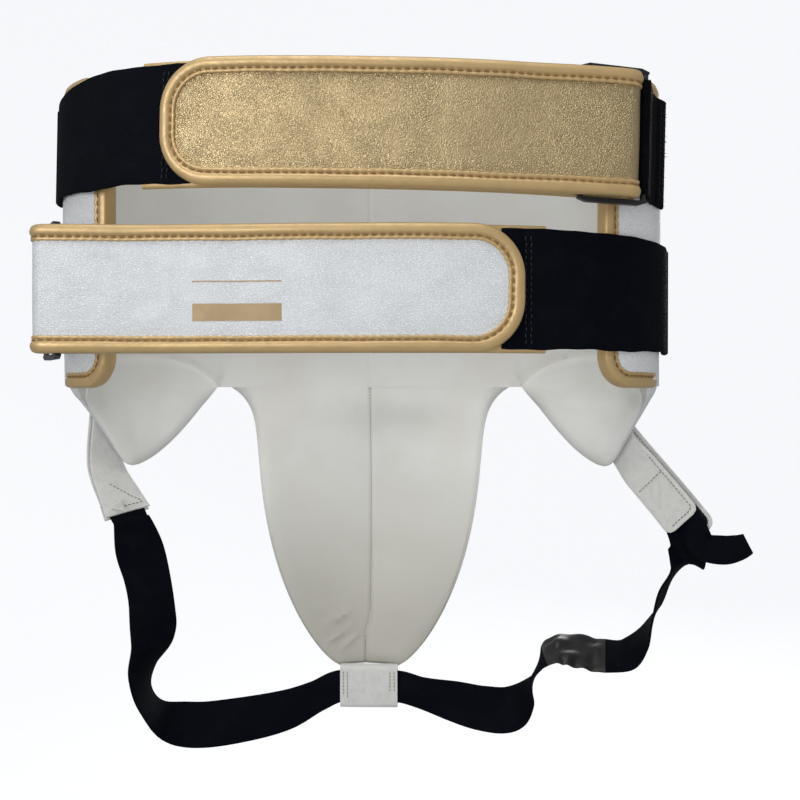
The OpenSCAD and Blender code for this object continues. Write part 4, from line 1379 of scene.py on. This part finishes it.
def leg_strap():
    line = stations(LEG_LEFT + LEG_RIGHT + LEG_FOLD + LEG_FREE, 8)
    s = lengths(line[:, :3])
    first, last = (8 * (len(LEG_LEFT) + k) for k in (8, 11))
    piece = ribbon(
        "leg_elastic", line, LEG_T, [ELASTIC, SATIN], cup=0.7, wrinkle=0.25,
        columns=11, crumpled=(s[first], s[last]),
    )
    around = len(piece.data.vertices) // len(line)
    for index, face in enumerate(piece.data.polygons):
        if first <= index // around < last:
            face.material_index = 1
    settle(piece, "black_elastic", "leg_strap")


def leaf(name, node, body, line):
    """One leaf of a tab."""
    settle(ribbon(name, line, TAB_T, SUEDE, wrinkle=0.12), "white_leather", node, body=body)


def rounded_stations(start, width, length, corner, n=40):
    """Stations of a straight strip of the right tab, whose far end has rounded corners."""
    tip = length - corner * np.cos(np.linspace(0, 1, 12) * math.pi / 2)
    l = np.unique(np.concatenate([np.linspace(0, length - corner, n), tip]))
    cut = corner - np.sqrt(np.clip(corner**2 - np.clip(l - length + corner, 0, corner) ** 2, 0, None))
    rows = [[*(start + x * RIGHT_DIR), *RIGHT_SIDE, max(width - 2 * c, 1.6)] for x, c in zip(l, cut)]
    return np.array(rows)


def tab_stitches(start, lines, lift):
    """Stitch runs on the right tab. Each line goes through points of (along, across)."""
    runs = []
    for line in lines:
        flat = resample(np.array(line, float), 0.8)
        p = start + flat[:, :1] * RIGHT_DIR + flat[:, 1:] * RIGHT_SIDE + RIGHT_UP * lift
        out = np.broadcast_to(RIGHT_UP * np.sign(lift), p.shape)
        runs += stitch_runs(p, out, pitch=2.6, rise=0.3)
    return runs


RIGHT_INNER_ROOT = [
    ((163.5, 52.3, -118), (0.45, -0.566, 0.688), TAB_W),
    ((168.6, 45.2, -128.1), (0.385, -0.617, 0.688), TAB_W),
    (in_tab(30, 0, TAB_LIFT), RIGHT_SIDE, TAB_W),
    (in_tab(34, 0, TAB_LIFT), RIGHT_SIDE, TAB_W),
]


def right_tab():
    half = TAB_W / 2
    face = TAB_T / 2 + 0.05
    for name, node, body, lift, length, corner in (
        ("right_tab_leaf", "right_tab_inner_leaf", "protector", TAB_LIFT, 73.0, 5.0),
        ("right_tab_flap_leaf", "right_tab_outer_leaf", "right_tab_flap", -TAB_LIFT, 85.0, 7.0),
    ):
        start = in_tab(0, 0, lift)
        line = rounded_stations(start, TAB_W, length, corner)
        along = (line[:, :3] - start) @ RIGHT_DIR
        line[:, :3] += 0.5 * np.sin(along / 11)[:, None] * RIGHT_UP * smooth(along / 20)[:, None]
        if lift > 0:
            root = stations(RIGHT_INNER_ROOT, 8)
            line = np.vstack([root[:-1], line[along > 30]])
        leaf(name, node, body, line)
        side, box = half - 2.6, length - 33
        rows = [
            [(4, side), (length - 4.5, side), (length - 3, half - 5), (length - 3, -half + 4)],
            [(box, side), (box, -half + 3)],
        ]
        runs = tab_stitches(start, rows, face) + tab_stitches(start, rows, -face)
        settle(threads(name + "_stitches", runs, TAB_THREAD_R, GREY_THREAD), "white_leather", body=body)
    tape_start, tape_w = 52.0, 22
    tape_lift = TAB_LIFT - (TAB_T + TAB_PATCH_T) / 2 - 0.05
    for name, node, body, lift, end, shader in (
        ("right_tab_loop_tape", "right_tab_loop", "protector", tape_lift, 72.0, LOOPS),
        ("right_tab_hook_tape", "right_tab_hook", "right_tab_flap", -tape_lift, 82.0, HOOKS),
    ):
        start = in_tab(tape_start, 0, lift)
        line = rounded_stations(start, tape_w, end - tape_start, 4.0, n=16)
        settle(ribbon(name, line, TAB_PATCH_T, shader), "hook_and_loop", node, body=body)


def left_tab():
    base = stations(LEFT_TAB, 8)
    centre, side, up = frame_along(base)
    lift = LEG_T / 2 + TAB_T / 2 + 0.3
    s = lengths(centre)
    end = s[-1]
    for name, node, sign in (
        ("left_tab_leaf", "left_tab_inner_leaf", 1),
        ("left_tab_back_leaf", "left_tab_outer_leaf", -1),
    ):
        line = base.copy()
        line[:, :3] = centre + sign * lift * up
        leaf(name, node, "protector", line)
        face = sign * (lift + TAB_T / 2 + 0.05)
        runs = []
        for row in (((end - 4, 0.8), (end - 4, -0.8)), ((end - 5, 0.75), (end - 24, -0.35))):
            at, share = np.linspace(*row, 40).T
            c, d, u = (columns_at(at, s, table) for table in (centre, side, up))
            w = np.interp(at, s, base[:, 6]) / 2
            runs += stitch_runs(c + d * (share * w)[:, None] + u * face, u * sign, pitch=2.6, rise=0.3)
        settle(threads(name + "_stitches", runs, TAB_THREAD_R, GREY_THREAD), "white_leather")


def cup_loop():
    """Leather band round the leg strap, sewn up into the bottom of the cup."""
    y0, y1 = LOOP_LO[1], LOOP_HI[1]
    z0, z1 = LOOP_LO[2], LOOP_HI[2] + 1.5
    wall, r = 1.5, 3.6
    turn = np.radians(np.linspace(0, 90, 7))
    corners = ((y1 - r, z1 - r, 0), (y0 + r, z1 - r, 90), (y0 + r, z0 + r, 180), (y1 - r, z0 + r, 270))
    half = (LOOP_HI[0] - LOOP_LO[0]) / 2
    x = np.linspace(-half, half, 21)[:, None]
    swell = 0.25 * np.cos(x / half * 2)
    grids = []
    for inset in (0, wall):
        arcs = []
        for cy, cz, first in corners:
            a = turn + math.radians(first)
            arcs.append(pack(cy + (r - inset) * np.cos(a), cz + (r - inset) * np.sin(a)))
        y, z = np.vstack(arcs).T
        grids.append(pack(x, y - swell, z))
    n, k = grids[0].shape[:2]
    faces = grid_faces(n, k, closed=True) + grid_faces(n, k, closed=True, start=n * k)
    for row in (0, n - 1):
        a = row * k + np.arange(k)
        b = np.roll(a, -1)
        faces += pack(a, b, b + n * k, a + n * k).tolist()
    piece = mesh_object("cup_loop_leather", np.concatenate([g.reshape(-1, 3) for g in grids]), faces, SUEDE)
    settle(piece, "white_leather", "cup_loop")
    runs = []
    for x, low in ((-half + 2.2, z0 + 8), (-half + 5, z0 + 6), (half - 2.2, z0 + 10), (half - 5, z0 + 10)):
        line = pack(x, y0 - 0.2, np.linspace(z1 - 4, low, 30))
        runs += stitch_runs(line, np.broadcast_to([0.0, -1, 0], line.shape), pitch=2.3, rise=0.2)
    settle(threads("cup_loop_stitches", runs, 0.22, GREY_THREAD), "white_leather")


def cad_finishes():
    """CAD nodes that stay as they are get their real materials."""
    for node, shader in (("upper_ring", PLASTIC), ("lower_ring", PLASTIC), ("hard_cup", HARD)):
        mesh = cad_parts[node].data
        mesh.materials.clear()
        mesh.materials.append(shader.material)


camera()
backdrop()
lights()
belt()
belt_binding()
hip_pad(1, "left")
hip_pad(-1, "right")
cup()
cup_loop()
leg_strap()
left_tab()
right_tab()
closure_strap("upper", UPPER, GOLD_PANEL, "gold_leather", [])
closure_strap("lower", LOWER, WHITE_PANEL, "white_leather", PRINTS)
elastic("upper", 235, 246, 184, 8.0, at_upper)
elastic("lower", 239, 248, 181, 2.0, at_lower)
keeper("upper", UPPER, 24, 1.05, math.atan2(UPPER.along[1], UPPER.along[0]), 336, 346)
keeper("lower", LOWER, 5, 0, math.radians(60), 338, 348)
cad_finishes()
